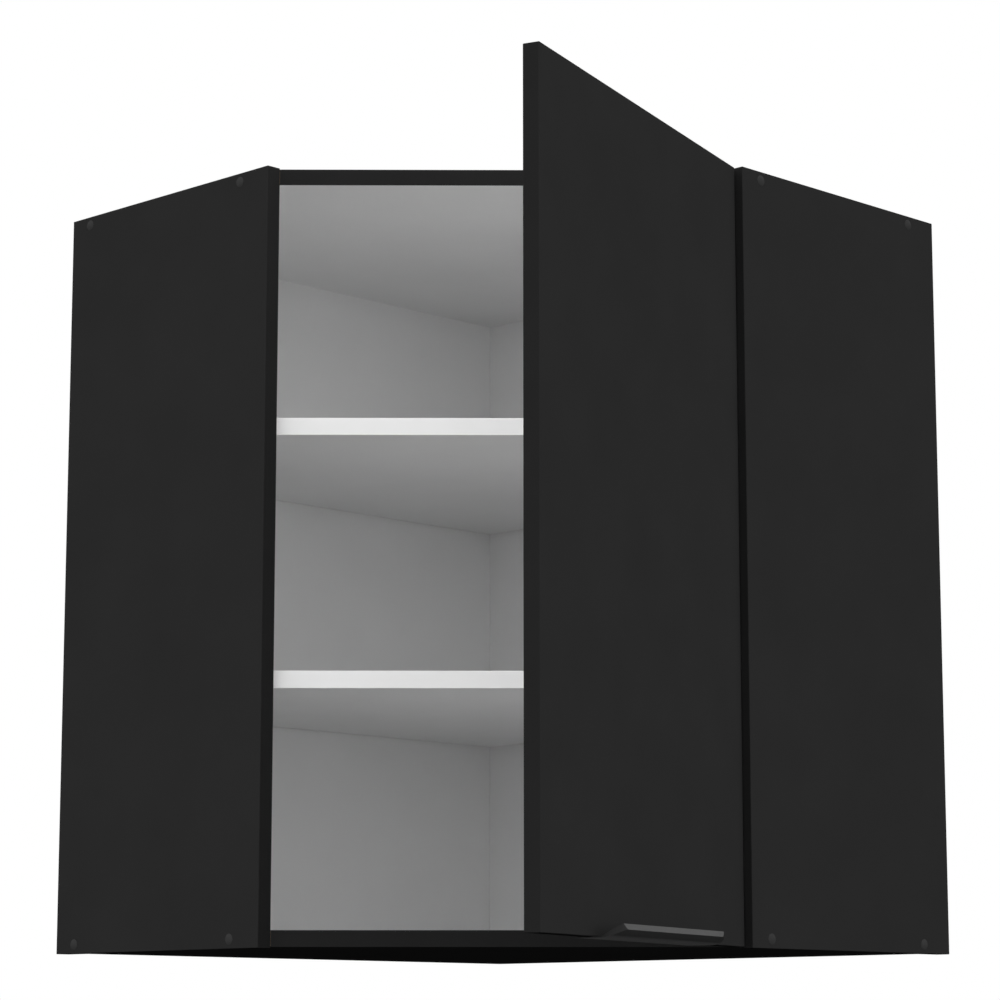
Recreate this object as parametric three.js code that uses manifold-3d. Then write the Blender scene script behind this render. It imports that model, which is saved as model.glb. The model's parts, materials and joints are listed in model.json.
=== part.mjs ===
// Corner wall cabinet for a kitchen, with a diagonal door. Millimetres, +Z up.
//
// The origin is the corner of the two walls, level with the cabinet's lower end. The left wall is
// the plane X = 0 and the right wall the plane Y = 0. The cabinet lies where X > 0 and Y < 0.
// The door is modelled open, as far as openAngle says.

import * as THREE from "three";
import { mergeVertices } from "three/addons/utils/BufferGeometryUtils.js";
import Module from "manifold-3d";

const wasm = await Module();
wasm.setup();

// ---------------------------------------------------------------- driving dimensions

const wallLength = 600; // along each wall, from the corner to a side panel's outer face
const sideDepth = 290; // a side panel, from the wall to its front edge
const sideHeight = 716;
const boardThickness = 15;
const endStep = 1; // the side panels pass the top and bottom panels by this much
const jointGap = 0.2; // between boards that butt together
const fitGap = 0.3; // round a piece that sits in a hole, or lies on a face
const over = 1; // how far a cutter passes the face that it opens

const sheetFace = 15; // the left back's white face, from the left wall
const sheetThickness = 3;
const grooveDepth = 7;
const grooveGap = 0.25;
const backBoardFace = 31; // the right back's white face, from the right wall
const backBoardThickness = 16;

const shelfThickness = 16;
const shelfCount = 2;
const shelfSideGap = 1.5; // round a shelf, to the panels and the backs
const shelfSetback = 12; // a shelf's front edge, behind the carcass's diagonal front edge

const doorSideGap = 0.6; // from the door's edge to a side panel's inner front corner
const doorThickness = 15;
const doorSeat = 1.3; // between the closed door and the carcass's front edge
const openAngle = THREE.MathUtils.degToRad(63.1);
const doorAxisFromEdge = 3.6; // the axis that the door turns about, from its hinged edge
const doorAxisFromFront = 6.8;

const screwLength = 50;
const screwHeadRadius = 4.7;
const screwHeadRim = 1;
const screwHeadHeight = 4.5;
const screwNeckRadius = 3.2;
const screwNeckLength = 12;
const screwNeckTaper = 1;
const screwCoreRadius = 2.3;
const socketRadius = 2;
const socketDepth = 2.6;
const screwNearInset = 26.6; // a screw's axis, from the nearer end of a side panel
const screwFarInset = 39.3; // the same at the other end; the right panel is turned end for end
const capRadius = 5;
const capDome = 0.75;
const capDomeSteps = 3;
const capBrim = 0.15;
const capStemRadius = 1.6;

const dowelRadius = 4;
const dowelLength = 30;
const dowelInSide = 10;
const dowelDepth = 140;
const dowelChamfer = 1;

const pinRadius = 2.5;
const pinInPanel = 8;
const pinOut = 9;
const pinCollarRadius = 3.6;
const pinCollar = 1;
const pinChamfer = 1;
const pinFromWall = 52; // a rear pin's axis
const pinFromFront = 54; // a front pin's axis, behind the panel's front edge
const pinOnBack = 150; // the place of the pin on the right back, from the left wall

const hingeFromEnd = 100; // a hinge's middle, from the side panels' nearer end
const cupRadius = 17.2;
const cupDepth = 12;
const cupWall = 1;
const cupFloor = 0.8;
const cupFloorRound = 0.5;
const cupRim = 0.8; // how far the rim stands out of the door
const cupFromEdge = 20.5; // the cup's axis, from the door's hinged edge
const cupScrewSpacing = 45; // between the two screw holes in the cup's wings
const cupScrewOffset = 9.5; // the line of these holes, from the cup's axis
const wingThickness = 1;
const wingWidth = 16;
const hingeScrewHole = 2.4; // radius, in the wings and in the mounting plate
const linkAxisFromPanel = 3.8;
const linkAxisFromFront = 0; // behind the side panel's front edge
const linkLength = 16; // between the link's two pins
const linkClosedAngle = THREE.MathUtils.degToRad(-129.2);
const linkRatio = 0.39; // the link's turn for each degree of the door's
const linkRise = 12.6; // how far the gooseneck stands off the line between its pins
const linkBend = 3.5;
const linkThickness = 1.8;
const linkWidth = 8;
const linkEyeRadius = 2.7;
const linkPinRadius = 1.3;
const linkTipRadius = 1.9;
const armLength = 75; // behind the link's pin
const armHeight = 14; // the arm's web, from the panel
const armSheet = 1.6;
const armWidth = 14.6;
const armThroat = 6; // the room in front of the web, from the link's pin
const armChin = 9; // where the cheeks come down to the plate, from the link's pin
const armScrewHole = 3.2; // radius
const armScrewSpacing = 28; // between the adjusting screw and the fixing screw
const plateThickness = 2.5;
const plateSetback = 37; // the mounting plate's screws, behind the panel's front edge
const plateScrewSpacing = 32;
const plateWidth = 16;
const plateLength = 52;
const plateSpineLength = 44; // the raised part that the arm is screwed to

const handleLength = 213;
const handlePlate = 1.6; // the plate under the door's lower edge
const handleFoot = 8; // where the lip's inner slope leaves the plate, from the door's front
const handleSwell = 6.5; // where the lip's underside starts to curve up
const handleReach = 24.5; // the nose
const handleNoseHeight = 6.3;
const handleTipReach = 23;
const handleTipHeight = 11;
const handleCorner = 7; // the rounding of the lip's front corners, seen from above
const handleScrewSpacing = 128;
const handleScrewLength = 20;
const handleScrewRadius = 1.6;
const handleScrewHead = 3.1;

const bumperRadius = 4;
const bumperHeight = 0.7;
const bumperTaper = 0.4;
const bumperFromEdge = 9;

const hangerLength = 46;
const hangerThickness = 18;
const hangerHeight = 54;
const hangerRound = 4;
const hangerBelowTop = 3; // the housing's upper end, below the top panel
const hookHeight = 12;
const hookThickness = 3;
const hookInward = 8; // the hook's near face, from the side panel
const hookReach = 30; // how far the hook runs into the housing
const hookFromWall = 3;
const hookTooth = 4;
const hookToothDrop = 12;
const hookTravel = 5; // up and down from the middle
const hookBelowTop = 22; // the hook's middle, below the top panel
const hookSlotGap = 1; // round the hook, in the housing
const hookNotchGap = 2; // round the hook's travel, in a back
const hangerScrewRadius = 3;
const hangerScrewHead = 4.5;
const hangerScrewHeadHeight = 2;
const hangerScrewClear = 2; // between the hook's end and the screw's

// ---------------------------------------------------------------- worked out from them

const innerFace = wallLength - boardThickness;
const bottomTop = endStep + boardThickness;
const topUnder = sideHeight - endStep - boardThickness;
const diagonal = innerFace + sideDepth; // X - Y along the carcass's diagonal front edge
const carcassFront = diagonal / Math.SQRT2; // the same edge, from the corner
const doorRear = carcassFront + doorSeat;
const doorFront = doorRear + doorThickness;
const doorHeight = sideHeight - 2 * endStep;
const screwDepths = {
  left: { rear: screwNearInset, front: sideDepth - screwFarInset },
  right: { rear: screwFarInset, front: sideDepth - screwNearInset },
};
const pinDepths = { rear: pinFromWall, front: sideDepth - pinFromFront };
const doorWidth = (innerFace - sideDepth) * Math.SQRT2 - 2 * doorSideGap;
const doorEdge = doorWidth / 2;
const clearHeight = (topUnder - bottomTop - shelfCount * shelfThickness) / (shelfCount + 1);
const hookMiddle = topUnder - hookBelowTop;
const hingeHeights = { lower: hingeFromEnd, upper: sideHeight - hingeFromEnd };
const handleTop = endStep - fitGap; // the plate's upper face, under the door's lower edge
const handleLow = handleTop - handlePlate;

// ---------------------------------------------------------------- materials

const finish = (color, roughness, metalness) =>
  new THREE.MeshStandardMaterial({ color, roughness, metalness });
const blackBoard = finish(0x2a2a2a, 0.55, 0);
const whiteBoard = finish(0xe9e9e7, 0.5, 0);
const blackMetal = finish(0x262626, 0.45, 0.6);
const steel = finish(0xb4b6b8, 0.3, 1);
const capPlastic = finish(0x303030, 0.5, 0);
const whitePlastic = finish(0xe4e4e0, 0.45, 0);
const beech = finish(0xcaa878, 0.7, 0);
const clearRubber = finish(0xd8d8d4, 0.5, 0);

// ---------------------------------------------------------------- solids

function solidOf(geometry) {
  const bare = geometry.index ? geometry.toNonIndexed() : geometry.clone();
  bare.deleteAttribute("normal");
  bare.deleteAttribute("uv");
  const merged = mergeVertices(bare, 1e-4);
  const vertProperties = new Float32Array(merged.attributes.position.array);
  const triVerts = new Uint32Array(merged.index.array);
  return new wasm.Manifold(new wasm.Mesh({ numProp: 3, vertProperties, triVerts }));
}

function geometryOf(solid) {
  const mesh = solid.getMesh();
  const geometry = new THREE.BufferGeometry();
  geometry.setAttribute("position", new THREE.BufferAttribute(mesh.vertProperties, 3));
  geometry.setIndex(new THREE.BufferAttribute(mesh.triVerts, 1));
  geometry.computeVertexNormals();
  return geometry;
}

function cut(geometry, cutters) {
  const whole = solidOf(geometry);
  return geometryOf(cutters.reduce((left, cutter) => left.subtract(solidOf(cutter)), whole));
}

function overlap(geometry, other) {
  return geometryOf(solidOf(geometry).intersect(solidOf(other)));
}

function join(geometries) {
  return geometryOf(geometries.map(solidOf).reduce((sum, next) => sum.add(next)));
}

// A box between two corners.
function block(low, high) {
  const size = high.map((value, i) => value - low[i]);
  const middle = high.map((value, i) => (value + low[i]) / 2);
  return new THREE.BoxGeometry(...size).translate(...middle);
}

// An outline in plan, given as [x, y] points or as a Shape, between two heights.
function plan(outline, low, high) {
  const shape = outline instanceof THREE.Shape
    ? outline
    : new THREE.Shape(outline.map(([x, y]) => new THREE.Vector2(x, y)));
  const options = { depth: high - low, bevelEnabled: false, curveSegments: 8 };
  return new THREE.ExtrudeGeometry(shape, options).translate(0, 0, low);
}

function roundHole(x, y, radius) {
  const hole = new THREE.Path();
  hole.absarc(x, y, radius, 0, 2 * Math.PI, true);
  return hole;
}

// An outline of x and z, between two places along y.
function upright(outline, from, to) {
  return plan(outline, -to, -from).rotateX(Math.PI / 2);
}

// A round piece along Y from its [radius, y] profile.
function turned(profile, segments = 16) {
  return new THREE.LatheGeometry(
    profile.map(([radius, y]) => new THREE.Vector2(radius, y)),
    segments,
  );
}

// A straight round rod along Y.
function rod(radius, from, to, segments = 16) {
  return new THREE.CylinderGeometry(radius, radius, to - from, segments)
    .translate(0, (from + to) / 2, 0);
}

function piece(name, geometry, material, parent, position = [0, 0, 0]) {
  const mesh = new THREE.Mesh(geometry, material);
  mesh.name = name;
  mesh.position.set(...position);
  parent.add(mesh);
  return mesh;
}

// ---------------------------------------------------------------- frames

const cabinet = new THREE.Group();

// Each side has a group whose local y runs inward from the panel's inner face, and whose local x
// runs along the panel: away from the wall on the left, towards it on the right.
const sides = [
  { name: "left", away: 1, turn: 0, corner: [0, -innerFace, 0] },
  { name: "right", away: -1, turn: Math.PI / 2, corner: [innerFace, 0, 0] },
];
for (const side of sides) {
  side.group = new THREE.Group();
  side.group.position.set(...side.corner);
  side.group.rotation.z = side.turn;
  side.group.updateMatrix();
  cabinet.add(side.group);
}

// The door's frame: x runs along the closed door to its hinged edge, y back towards the corner.
const doorwayFrame = new THREE.Group();
doorwayFrame.rotation.z = Math.PI / 4;
cabinet.add(doorwayFrame);

const doorAxis = [doorEdge - doorAxisFromEdge, -(doorFront - doorAxisFromFront), 0];
const doorTurn = new THREE.Group();
doorTurn.position.set(...doorAxis);
doorTurn.rotation.z = openAngle;
doorwayFrame.add(doorTurn);
const doorFrame = new THREE.Group(); // the coordinates of the closed door, turned with it
doorFrame.position.set(-doorAxis[0], -doorAxis[1], 0);
doorTurn.add(doorFrame);

// A cutter made in a side's local frame, moved into the cabinet's frame.
const fromSide = (side, geometry) => geometry.applyMatrix4(side.group.matrix);

// ---------------------------------------------------------------- fasteners of the carcass

// The screw stands in a side panel, with its head in the outer face.
function screwProfile(grow) {
  const head = -boardThickness + fitGap;
  const tip = head + screwLength;
  const neckEnd = head + screwNeckLength;
  const core = screwCoreRadius + grow;
  return [
    [screwHeadRadius + grow, head - grow],
    [screwHeadRadius + grow, head + screwHeadRim],
    [screwNeckRadius + grow, head + screwHeadHeight],
    [screwNeckRadius + grow, neckEnd],
    [core, neckEnd + screwNeckTaper],
    [core, tip - core],
    [0, tip + grow],
  ];
}

function screwShape() {
  const [top, ...rest] = screwProfile(0);
  const socket = [
    [0, top[1] + socketDepth],
    [socketRadius, top[1] + socketDepth],
    [socketRadius, top[1]],
  ];
  return turned([...socket, top, ...rest], 12);
}

function screwHole() {
  const [, ...rest] = screwProfile(fitGap);
  const outside = -boardThickness - over;
  return turned([[0, outside], [screwHeadRadius + fitGap, outside], ...rest], 12);
}

function capShape() {
  const face = -boardThickness - jointGap;
  const brim = face - capBrim;
  const dome = [[0, brim - capDome]];
  for (let i = 1; i <= capDomeSteps; i++) {
    const angle = ((i / capDomeSteps) * Math.PI) / 2;
    dome.push([capRadius * Math.sin(angle), brim - capDome * Math.cos(angle)]);
  }
  const stemEnd = -boardThickness + socketDepth;
  return turned([...dome, [capRadius, face], [capStemRadius, face], [capStemRadius, stemEnd],
    [0, stemEnd]]);
}

function dowelShape(grow) {
  const low = -dowelInSide - grow;
  const high = dowelLength - dowelInSide + grow;
  const radius = dowelRadius + grow;
  return turned([
    [0, low],
    [radius - dowelChamfer, low],
    [radius, low + dowelChamfer],
    [radius, high - dowelChamfer],
    [radius - dowelChamfer, high],
    [0, high],
  ]);
}

const levels = {
  lower: endStep + boardThickness / 2,
  upper: topUnder + boardThickness / 2,
};

function screwPlaces(side) {
  return Object.entries(screwDepths[side.name]).flatMap(([end, depth]) =>
    Object.entries(levels).map(([level, z]) => ({ end, level, depth, z })),
  );
}

function addCarcassFasteners(side) {
  for (const { end, level, depth, z } of screwPlaces(side)) {
    const place = [side.away * depth, 0, z];
    piece(`screw_${side.name}_${level}_${end}`, screwShape(), steel, side.group, place);
    piece(`cap_${side.name}_${level}_${end}`, capShape(), capPlastic, side.group, place);
  }
  for (const [level, z] of Object.entries(levels)) {
    const place = [side.away * dowelDepth, 0, z];
    piece(`dowel_${side.name}_${level}`, dowelShape(0), beech, side.group, place);
  }
}

// The holes that the fasteners of one side need, in that side's frame, at all levels or one.
function fastenerHoles(side, onlyLevel) {
  const holes = [];
  for (const { level, depth, z } of screwPlaces(side)) {
    if (onlyLevel && level !== onlyLevel) continue;
    holes.push(screwHole().translate(side.away * depth, 0, z));
  }
  for (const [level, z] of Object.entries(levels)) {
    if (onlyLevel && level !== onlyLevel) continue;
    holes.push(dowelShape(fitGap).translate(side.away * dowelDepth, 0, z));
  }
  return holes;
}

// ---------------------------------------------------------------- shelf pins

const shelfHeights = {};
["lower", "upper"].forEach((name, i) => {
  shelfHeights[name] = bottomTop + (i + 1) * clearHeight + i * shelfThickness;
});
const pinAxis = (shelf) => shelfHeights[shelf] - fitGap - pinRadius;

function pinShape() {
  return turned([
    [0, -pinInPanel],
    [pinRadius, -pinInPanel],
    [pinRadius, jointGap],
    [pinCollarRadius, jointGap],
    [pinCollarRadius, jointGap + pinCollar],
    [pinRadius, jointGap + pinCollar],
    [pinRadius, pinOut - pinChamfer],
    [pinRadius - pinChamfer, pinOut],
    [0, pinOut],
  ], 12);
}

const pinHole = () => rod(pinRadius + fitGap, -pinInPanel - fitGap, over, 12);

const backFrame = new THREE.Group(); // on the right back's face, local y pointing into the cabinet
backFrame.position.set(pinOnBack, -backBoardFace, 0);
backFrame.rotation.z = Math.PI;
backFrame.updateMatrix();
cabinet.add(backFrame);

function addShelfPins(shelf) {
  const z = pinAxis(shelf);
  for (const side of sides) {
    for (const [end, depth] of Object.entries(pinDepths)) {
      const name = `pin_${shelf}_${side.name}_${end}`;
      piece(name, pinShape(), steel, side.group, [side.away * depth, 0, z]);
    }
  }
  piece(`pin_${shelf}_back`, pinShape(), steel, backFrame, [0, 0, z]);
}

// ---------------------------------------------------------------- carcass

// The left back is a sheet in grooves, and this is the sheet, or the room that its grooves take.
function sheetBlock(grow) {
  const seat = grooveDepth - grooveGap + grow;
  return block(
    [sheetFace - sheetThickness - grow, -innerFace - seat, bottomTop - seat],
    [sheetFace + grow, -backBoardFace + seat, topUnder + seat],
  );
}

function addSidePanel(side) {
  const low = [Math.min(0, side.away * sideDepth), -boardThickness, 0];
  const high = [Math.max(0, side.away * sideDepth), 0, sideHeight];
  const cutters = fastenerHoles(side);
  for (const shelf of Object.keys(shelfHeights)) {
    for (const depth of Object.values(pinDepths)) {
      cutters.push(pinHole().translate(side.away * depth, 0, pinAxis(shelf)));
    }
  }
  if (side.name === "left") {
    const toLocal = side.group.matrix.clone().invert();
    cutters.push(sheetBlock(grooveGap).applyMatrix4(toLocal));
  }
  piece(`side_${side.name}`, cut(block(low, high), cutters), blackBoard, side.group);
}

// The outline of the top and bottom panels: a square with one corner cut off for the door.
const panelEdge = innerFace - jointGap;
const panelOutline = [
  [0, 0],
  [panelEdge, 0],
  [panelEdge, panelEdge - diagonal],
  [diagonal - panelEdge, -panelEdge],
  [0, -panelEdge],
];

function addEndPanel(name, level, low) {
  const cutters = sides.flatMap((side) =>
    fastenerHoles(side, level).map((hole) => fromSide(side, hole)),
  );
  cutters.push(sheetBlock(grooveGap));
  const board = plan(panelOutline, low, low + boardThickness);
  piece(name, cut(board, cutters), blackBoard, cabinet);
}

function addShelf(name, height) {
  const gap = shelfSideGap;
  const side = innerFace - gap;
  const front = diagonal - shelfSetback * Math.SQRT2;
  const outline = [
    [sheetFace + gap, -backBoardFace - gap],
    [side, -backBoardFace - gap],
    [side, side - front],
    [front - side, -side],
    [sheetFace + gap, -side],
  ];
  piece(name, plan(outline, height, height + shelfThickness), whiteBoard, cabinet);
}

// The notch beside the side panel where a hanger's hook passes a back.
function hookNotch(side) {
  const half = hookHeight / 2 + hookTravel + hookNotchGap;
  const ends = [-side.away * over, side.away * (backBoardFace + over)];
  const far = hookInward + hookThickness + hookNotchGap;
  return fromSide(side, block(
    [Math.min(...ends), -grooveDepth - over, hookMiddle - half],
    [Math.max(...ends), far, hookMiddle + half],
  ));
}

function addBacks() {
  const [left, right] = sides;
  piece("back_left", cut(sheetBlock(0), [hookNotch(left)]), whiteBoard, cabinet);
  const board = block(
    [jointGap, -backBoardFace, bottomTop + jointGap],
    [innerFace - jointGap, -backBoardFace + backBoardThickness, topUnder - jointGap],
  );
  const cutters = [sheetBlock(grooveGap), hookNotch(right)];
  for (const shelf of Object.keys(shelfHeights)) {
    const hole = pinHole().translate(0, 0, pinAxis(shelf));
    cutters.push(hole.applyMatrix4(backFrame.matrix));
  }
  piece("back_right", cut(board, cutters), whiteBoard, cabinet);
}

// ---------------------------------------------------------------- hangers

// A housing's outline round its middle: a rectangle with rounded corners.
function roundedOutline(x, z, length, height) {
  const right = length / 2 - hangerRound;
  const up = height / 2 - hangerRound;
  const shape = new THREE.Shape();
  [[right, up], [-right, up], [-right, -up], [right, -up]].forEach(([dx, dz], i) => {
    const start = (i * Math.PI) / 2;
    shape.absarc(x + dx, z + dz, hangerRound, start, start + Math.PI / 2, false);
  });
  shape.closePath();
  return shape;
}

function addHanger(side) {
  const back = side.name === "left" ? sheetFace : backBoardFace;
  const along = (depth) => side.away * depth;
  const bar = (depths, ys, zs) => block(
    [Math.min(...depths.map(along)), ys[0], zs[0]],
    [Math.max(...depths.map(along)), ys[1], zs[1]],
  );
  const near = back + fitGap;
  const far = near + hangerLength;
  const top = topUnder - hangerBelowTop;
  const half = hookHeight / 2;
  const slot = half + hookTravel + hookSlotGap;
  const hookYs = [hookInward, hookInward + hookThickness];
  const slotYs = [hookYs[0] - hookSlotGap, hookYs[1] + hookSlotGap];
  const hookEnd = back + hookReach;
  const screwEnd = hookEnd + hangerScrewClear;
  const screwY = hookInward + hookThickness / 2;
  const shank = (radius, from, to) => rod(radius, from, to)
    .rotateZ(-side.away * Math.PI / 2)
    .translate(0, screwY, hookMiddle);

  const middle = along((near + far) / 2);
  const outline = roundedOutline(middle, top - hangerHeight / 2, hangerLength, hangerHeight);
  const housing = cut(upright(outline, fitGap, hangerThickness), [
    bar([near - over, hookEnd + hookSlotGap], slotYs, [hookMiddle - slot, hookMiddle + slot]),
    shank(hangerScrewRadius + fitGap, hookEnd, far + over),
  ]);
  piece(`hanger_${side.name}_housing`, housing, whitePlastic, side.group);

  const hook = join([
    bar([hookFromWall, hookEnd], hookYs, [hookMiddle - half, hookMiddle + half]),
    bar([hookFromWall, hookFromWall + hookTooth], hookYs, [hookMiddle - half - hookToothDrop,
      hookMiddle]),
  ]);
  piece(`hanger_${side.name}_hook`, hook, steel, side.group);

  const seat = far + fitGap;
  const head = [seat, seat + hangerScrewHeadHeight];
  const screw = join([
    shank(hangerScrewRadius, screwEnd, seat + hangerScrewHeadHeight / 2),
    shank(hangerScrewHead, ...head),
  ]);
  piece(`hanger_${side.name}_screw`, screw, steel, side.group);
}

// ---------------------------------------------------------------- door, bumpers and handle

const cupCentre = doorEdge - cupFromEdge;
const handleScrewPlaces = [-handleScrewSpacing / 2, handleScrewSpacing / 2];

function addDoor() {
  const top = endStep + doorHeight;
  const board = block([-doorEdge, -doorFront, endStep], [doorEdge, -doorRear, top]);
  const boreEnd = -doorRear - cupDepth - fitGap;
  const cutters = Object.values(hingeHeights).map((z) =>
    rod(cupRadius + fitGap, boreEnd, -doorRear + over, 40).translate(cupCentre, 0, z),
  );
  const middle = -doorFront + doorThickness / 2;
  for (const x of handleScrewPlaces) {
    cutters.push(handleScrew(fitGap).translate(x, middle, 0));
  }
  piece("door", cut(board, cutters), blackBoard, doorFrame);

  const bumper = turned([
    [0, 0],
    [bumperRadius, 0],
    [bumperRadius - bumperTaper, bumperHeight],
    [0, bumperHeight],
  ]);
  for (const [level, z] of Object.entries(levels)) {
    const place = [bumperFromEdge - doorEdge, -doorRear + jointGap, z];
    piece(`bumper_${level}`, bumper, clearRubber, doorFrame, place);
  }
}

// A screw that stands upright, its head in the handle's plate and its thread in the door.
function handleScrew(grow) {
  const tip = handleLow + handleScrewLength;
  return turned([
    [0, handleLow - grow],
    [handleScrewHead + grow, handleLow - grow],
    [handleScrewRadius + grow, handleTop],
    [handleScrewRadius + grow, tip - handleScrewRadius],
    [0, tip + grow],
  ]).rotateX(Math.PI / 2);
}

// The handle's section, x out from the door's front and y up: a plate under the door that swells
// into a lip. The lip's underside is an arc that runs on from the plate's, its upper side is a
// slope that the fingertips pull on, and its nose is flat.
function handleSection() {
  const run = handleReach - handleSwell;
  const rise = handleNoseHeight - handleLow;
  const radius = (run * run + rise * rise) / (2 * rise);
  const sweep = Math.asin(run / radius);
  const shape = new THREE.Shape();
  shape.moveTo(-doorThickness, handleLow);
  shape.lineTo(handleSwell, handleLow);
  shape.absarc(handleSwell, handleLow + radius, radius, -Math.PI / 2, sweep - Math.PI / 2, false);
  shape.lineTo(handleTipReach, handleTipHeight);
  shape.lineTo(handleFoot, handleTop);
  shape.lineTo(-doorThickness, handleTop);
  shape.closePath();
  return shape;
}

// The handle seen from above, x along the door and y back: the profile's ends are cut square,
// with the lip's two corners rounded.
function handleOutline() {
  const half = handleLength / 2;
  const nose = -doorFront - handleReach;
  const shape = new THREE.Shape();
  shape.moveTo(-half, -doorRear + over);
  shape.absarc(handleCorner - half, nose + handleCorner, handleCorner, Math.PI, 1.5 * Math.PI, false);
  shape.absarc(half - handleCorner, nose + handleCorner, handleCorner, -Math.PI / 2, 0, false);
  shape.lineTo(half, -doorRear + over);
  shape.closePath();
  return shape;
}

function addHandle() {
  const half = handleLength / 2 + over;
  const profile = plan(handleSection(), -half, half).applyMatrix4(
    new THREE.Matrix4().makeBasis(
      new THREE.Vector3(0, -1, 0),
      new THREE.Vector3(0, 0, 1),
      new THREE.Vector3(-1, 0, 0),
    ),
  );
  const prism = plan(handleOutline(), handleLow - over, handleTipHeight + over);
  const bar = overlap(profile.translate(0, -doorFront, 0), prism);
  const places = handleScrewPlaces.map((x) => [x, -doorFront + doorThickness / 2, 0]);
  const cutters = places.map((place) => handleScrew(fitGap).translate(...place));
  piece("handle", cut(bar, cutters), blackMetal, doorFrame);
  ["left", "right"].forEach((name, i) =>
    piece(`handle_screw_${name}`, handleScrew(0), steel, doorFrame, places[i]),
  );
}

// ---------------------------------------------------------------- hinges

// The cup sits in the door's inner face and has two wings on that face, with a screw hole each.
function cupShape() {
  const mouth = -doorRear + cupRim;
  const floor = -doorRear - cupDepth;
  const inner = cupRadius - cupWall;
  const cup = turned([
    [0, floor],
    [cupRadius - cupFloorRound, floor],
    [cupRadius, floor + cupFloorRound],
    [cupRadius, mouth],
    [inner, mouth],
    [inner, floor + cupFloor],
    [0, floor + cupFloor],
  ], 40);
  const spacing = cupScrewSpacing / 2;
  const wings = new THREE.Shape();
  wings.absarc(-cupScrewOffset, spacing, wingWidth / 2, 0, Math.PI, false);
  wings.absarc(-cupScrewOffset, -spacing, wingWidth / 2, Math.PI, 2 * Math.PI, false);
  wings.holes = [-spacing, spacing].map((z) => roundHole(-cupScrewOffset, z, hingeScrewHole));
  const seat = -doorRear + fitGap;
  const sheet = upright(wings, seat, seat + wingThickness);
  const pocket = rod(inner, seat - over, seat + wingThickness + over, 40);
  return join([cup, cut(sheet, [pocket])]);
}

// The link is a gooseneck that reaches round the door's edge, from its pin on the arm at the
// origin to its tip, linkLength along x.
function linkCentreline() {
  const path = new THREE.Path();
  const shoulder = linkRise - linkBend;
  path.moveTo(0, 0);
  path.lineTo(0, -shoulder);
  path.absarc(linkBend, -shoulder, linkBend, Math.PI, 1.5 * Math.PI, false);
  path.absarc(linkLength - linkBend, -shoulder, linkBend, 1.5 * Math.PI, 2 * Math.PI, false);
  path.lineTo(linkLength, 0);
  return path.getPoints(8);
}

function linkShape() {
  const line = linkCentreline();
  const near = [];
  const far = [];
  line.forEach((point, i) => {
    const before = line[Math.max(i - 1, 0)];
    const after = line[Math.min(i + 1, line.length - 1)];
    const along = after.clone().sub(before).normalize();
    const across = new THREE.Vector2(-along.y, along.x).multiplyScalar(linkThickness / 2);
    near.push(point.clone().add(across));
    far.unshift(point.clone().sub(across));
  });
  const strip = plan(new THREE.Shape([...far, ...near]), -linkWidth / 2, linkWidth / 2);
  const half = linkWidth / 2;
  const round = (radius, x, reach = half) => rod(radius, -reach, reach)
    .rotateX(Math.PI / 2)
    .translate(x, 0, 0);
  const bore = round(linkPinRadius + fitGap, 0, half + over);
  return cut(join([strip, round(linkEyeRadius, 0), round(linkTipRadius, linkLength)]), [bore]);
}

// The arm is a channel of sheet steel, open towards the panel, with the link's pin across its
// front end. An adjusting screw has a hole in its web, and the fixing screw a slot open behind.
const linkAxis = [linkAxisFromFront - sideDepth, linkAxisFromPanel];
const plateMiddle = plateSetback - sideDepth;

function armShape() {
  const [pinX, pinY] = linkAxis;
  const rear = pinX + armLength;
  const throat = pinX + armThroat;
  const under = plateThickness + 2 * fitGap;
  const half = armWidth / 2;
  const inner = half - armSheet;
  const cheek = new THREE.Shape();
  cheek.moveTo(rear, armHeight);
  cheek.lineTo(rear, under);
  cheek.lineTo(pinX + armChin, under);
  cheek.absarc(pinX, pinY, linkEyeRadius, -Math.PI / 2, Math.PI / 2, true);
  cheek.lineTo(throat, armHeight);
  cheek.closePath();
  const pinHalf = half - armSheet / 2;
  const pin = rod(linkPinRadius, -pinHalf, pinHalf).rotateX(Math.PI / 2).translate(pinX, pinY, 0);
  const webUnder = armHeight - armSheet;
  const web = block([throat, webUnder, -pinHalf], [rear, armHeight, pinHalf]);
  const fixing = plateMiddle + armScrewSpacing / 2;
  const holes = [-1, 1].map((way) => rod(armScrewHole, webUnder - over, armHeight + over)
    .translate(plateMiddle + (way * armScrewSpacing) / 2, 0, 0));
  const slot = block(
    [fixing, webUnder - over, -armScrewHole],
    [rear + over, armHeight + over, armScrewHole],
  );
  const cheeks = [plan(cheek, -half, -inner), plan(cheek, inner, half)];
  return join([...cheeks, cut(web, [...holes, slot]), pin]);
}

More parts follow.
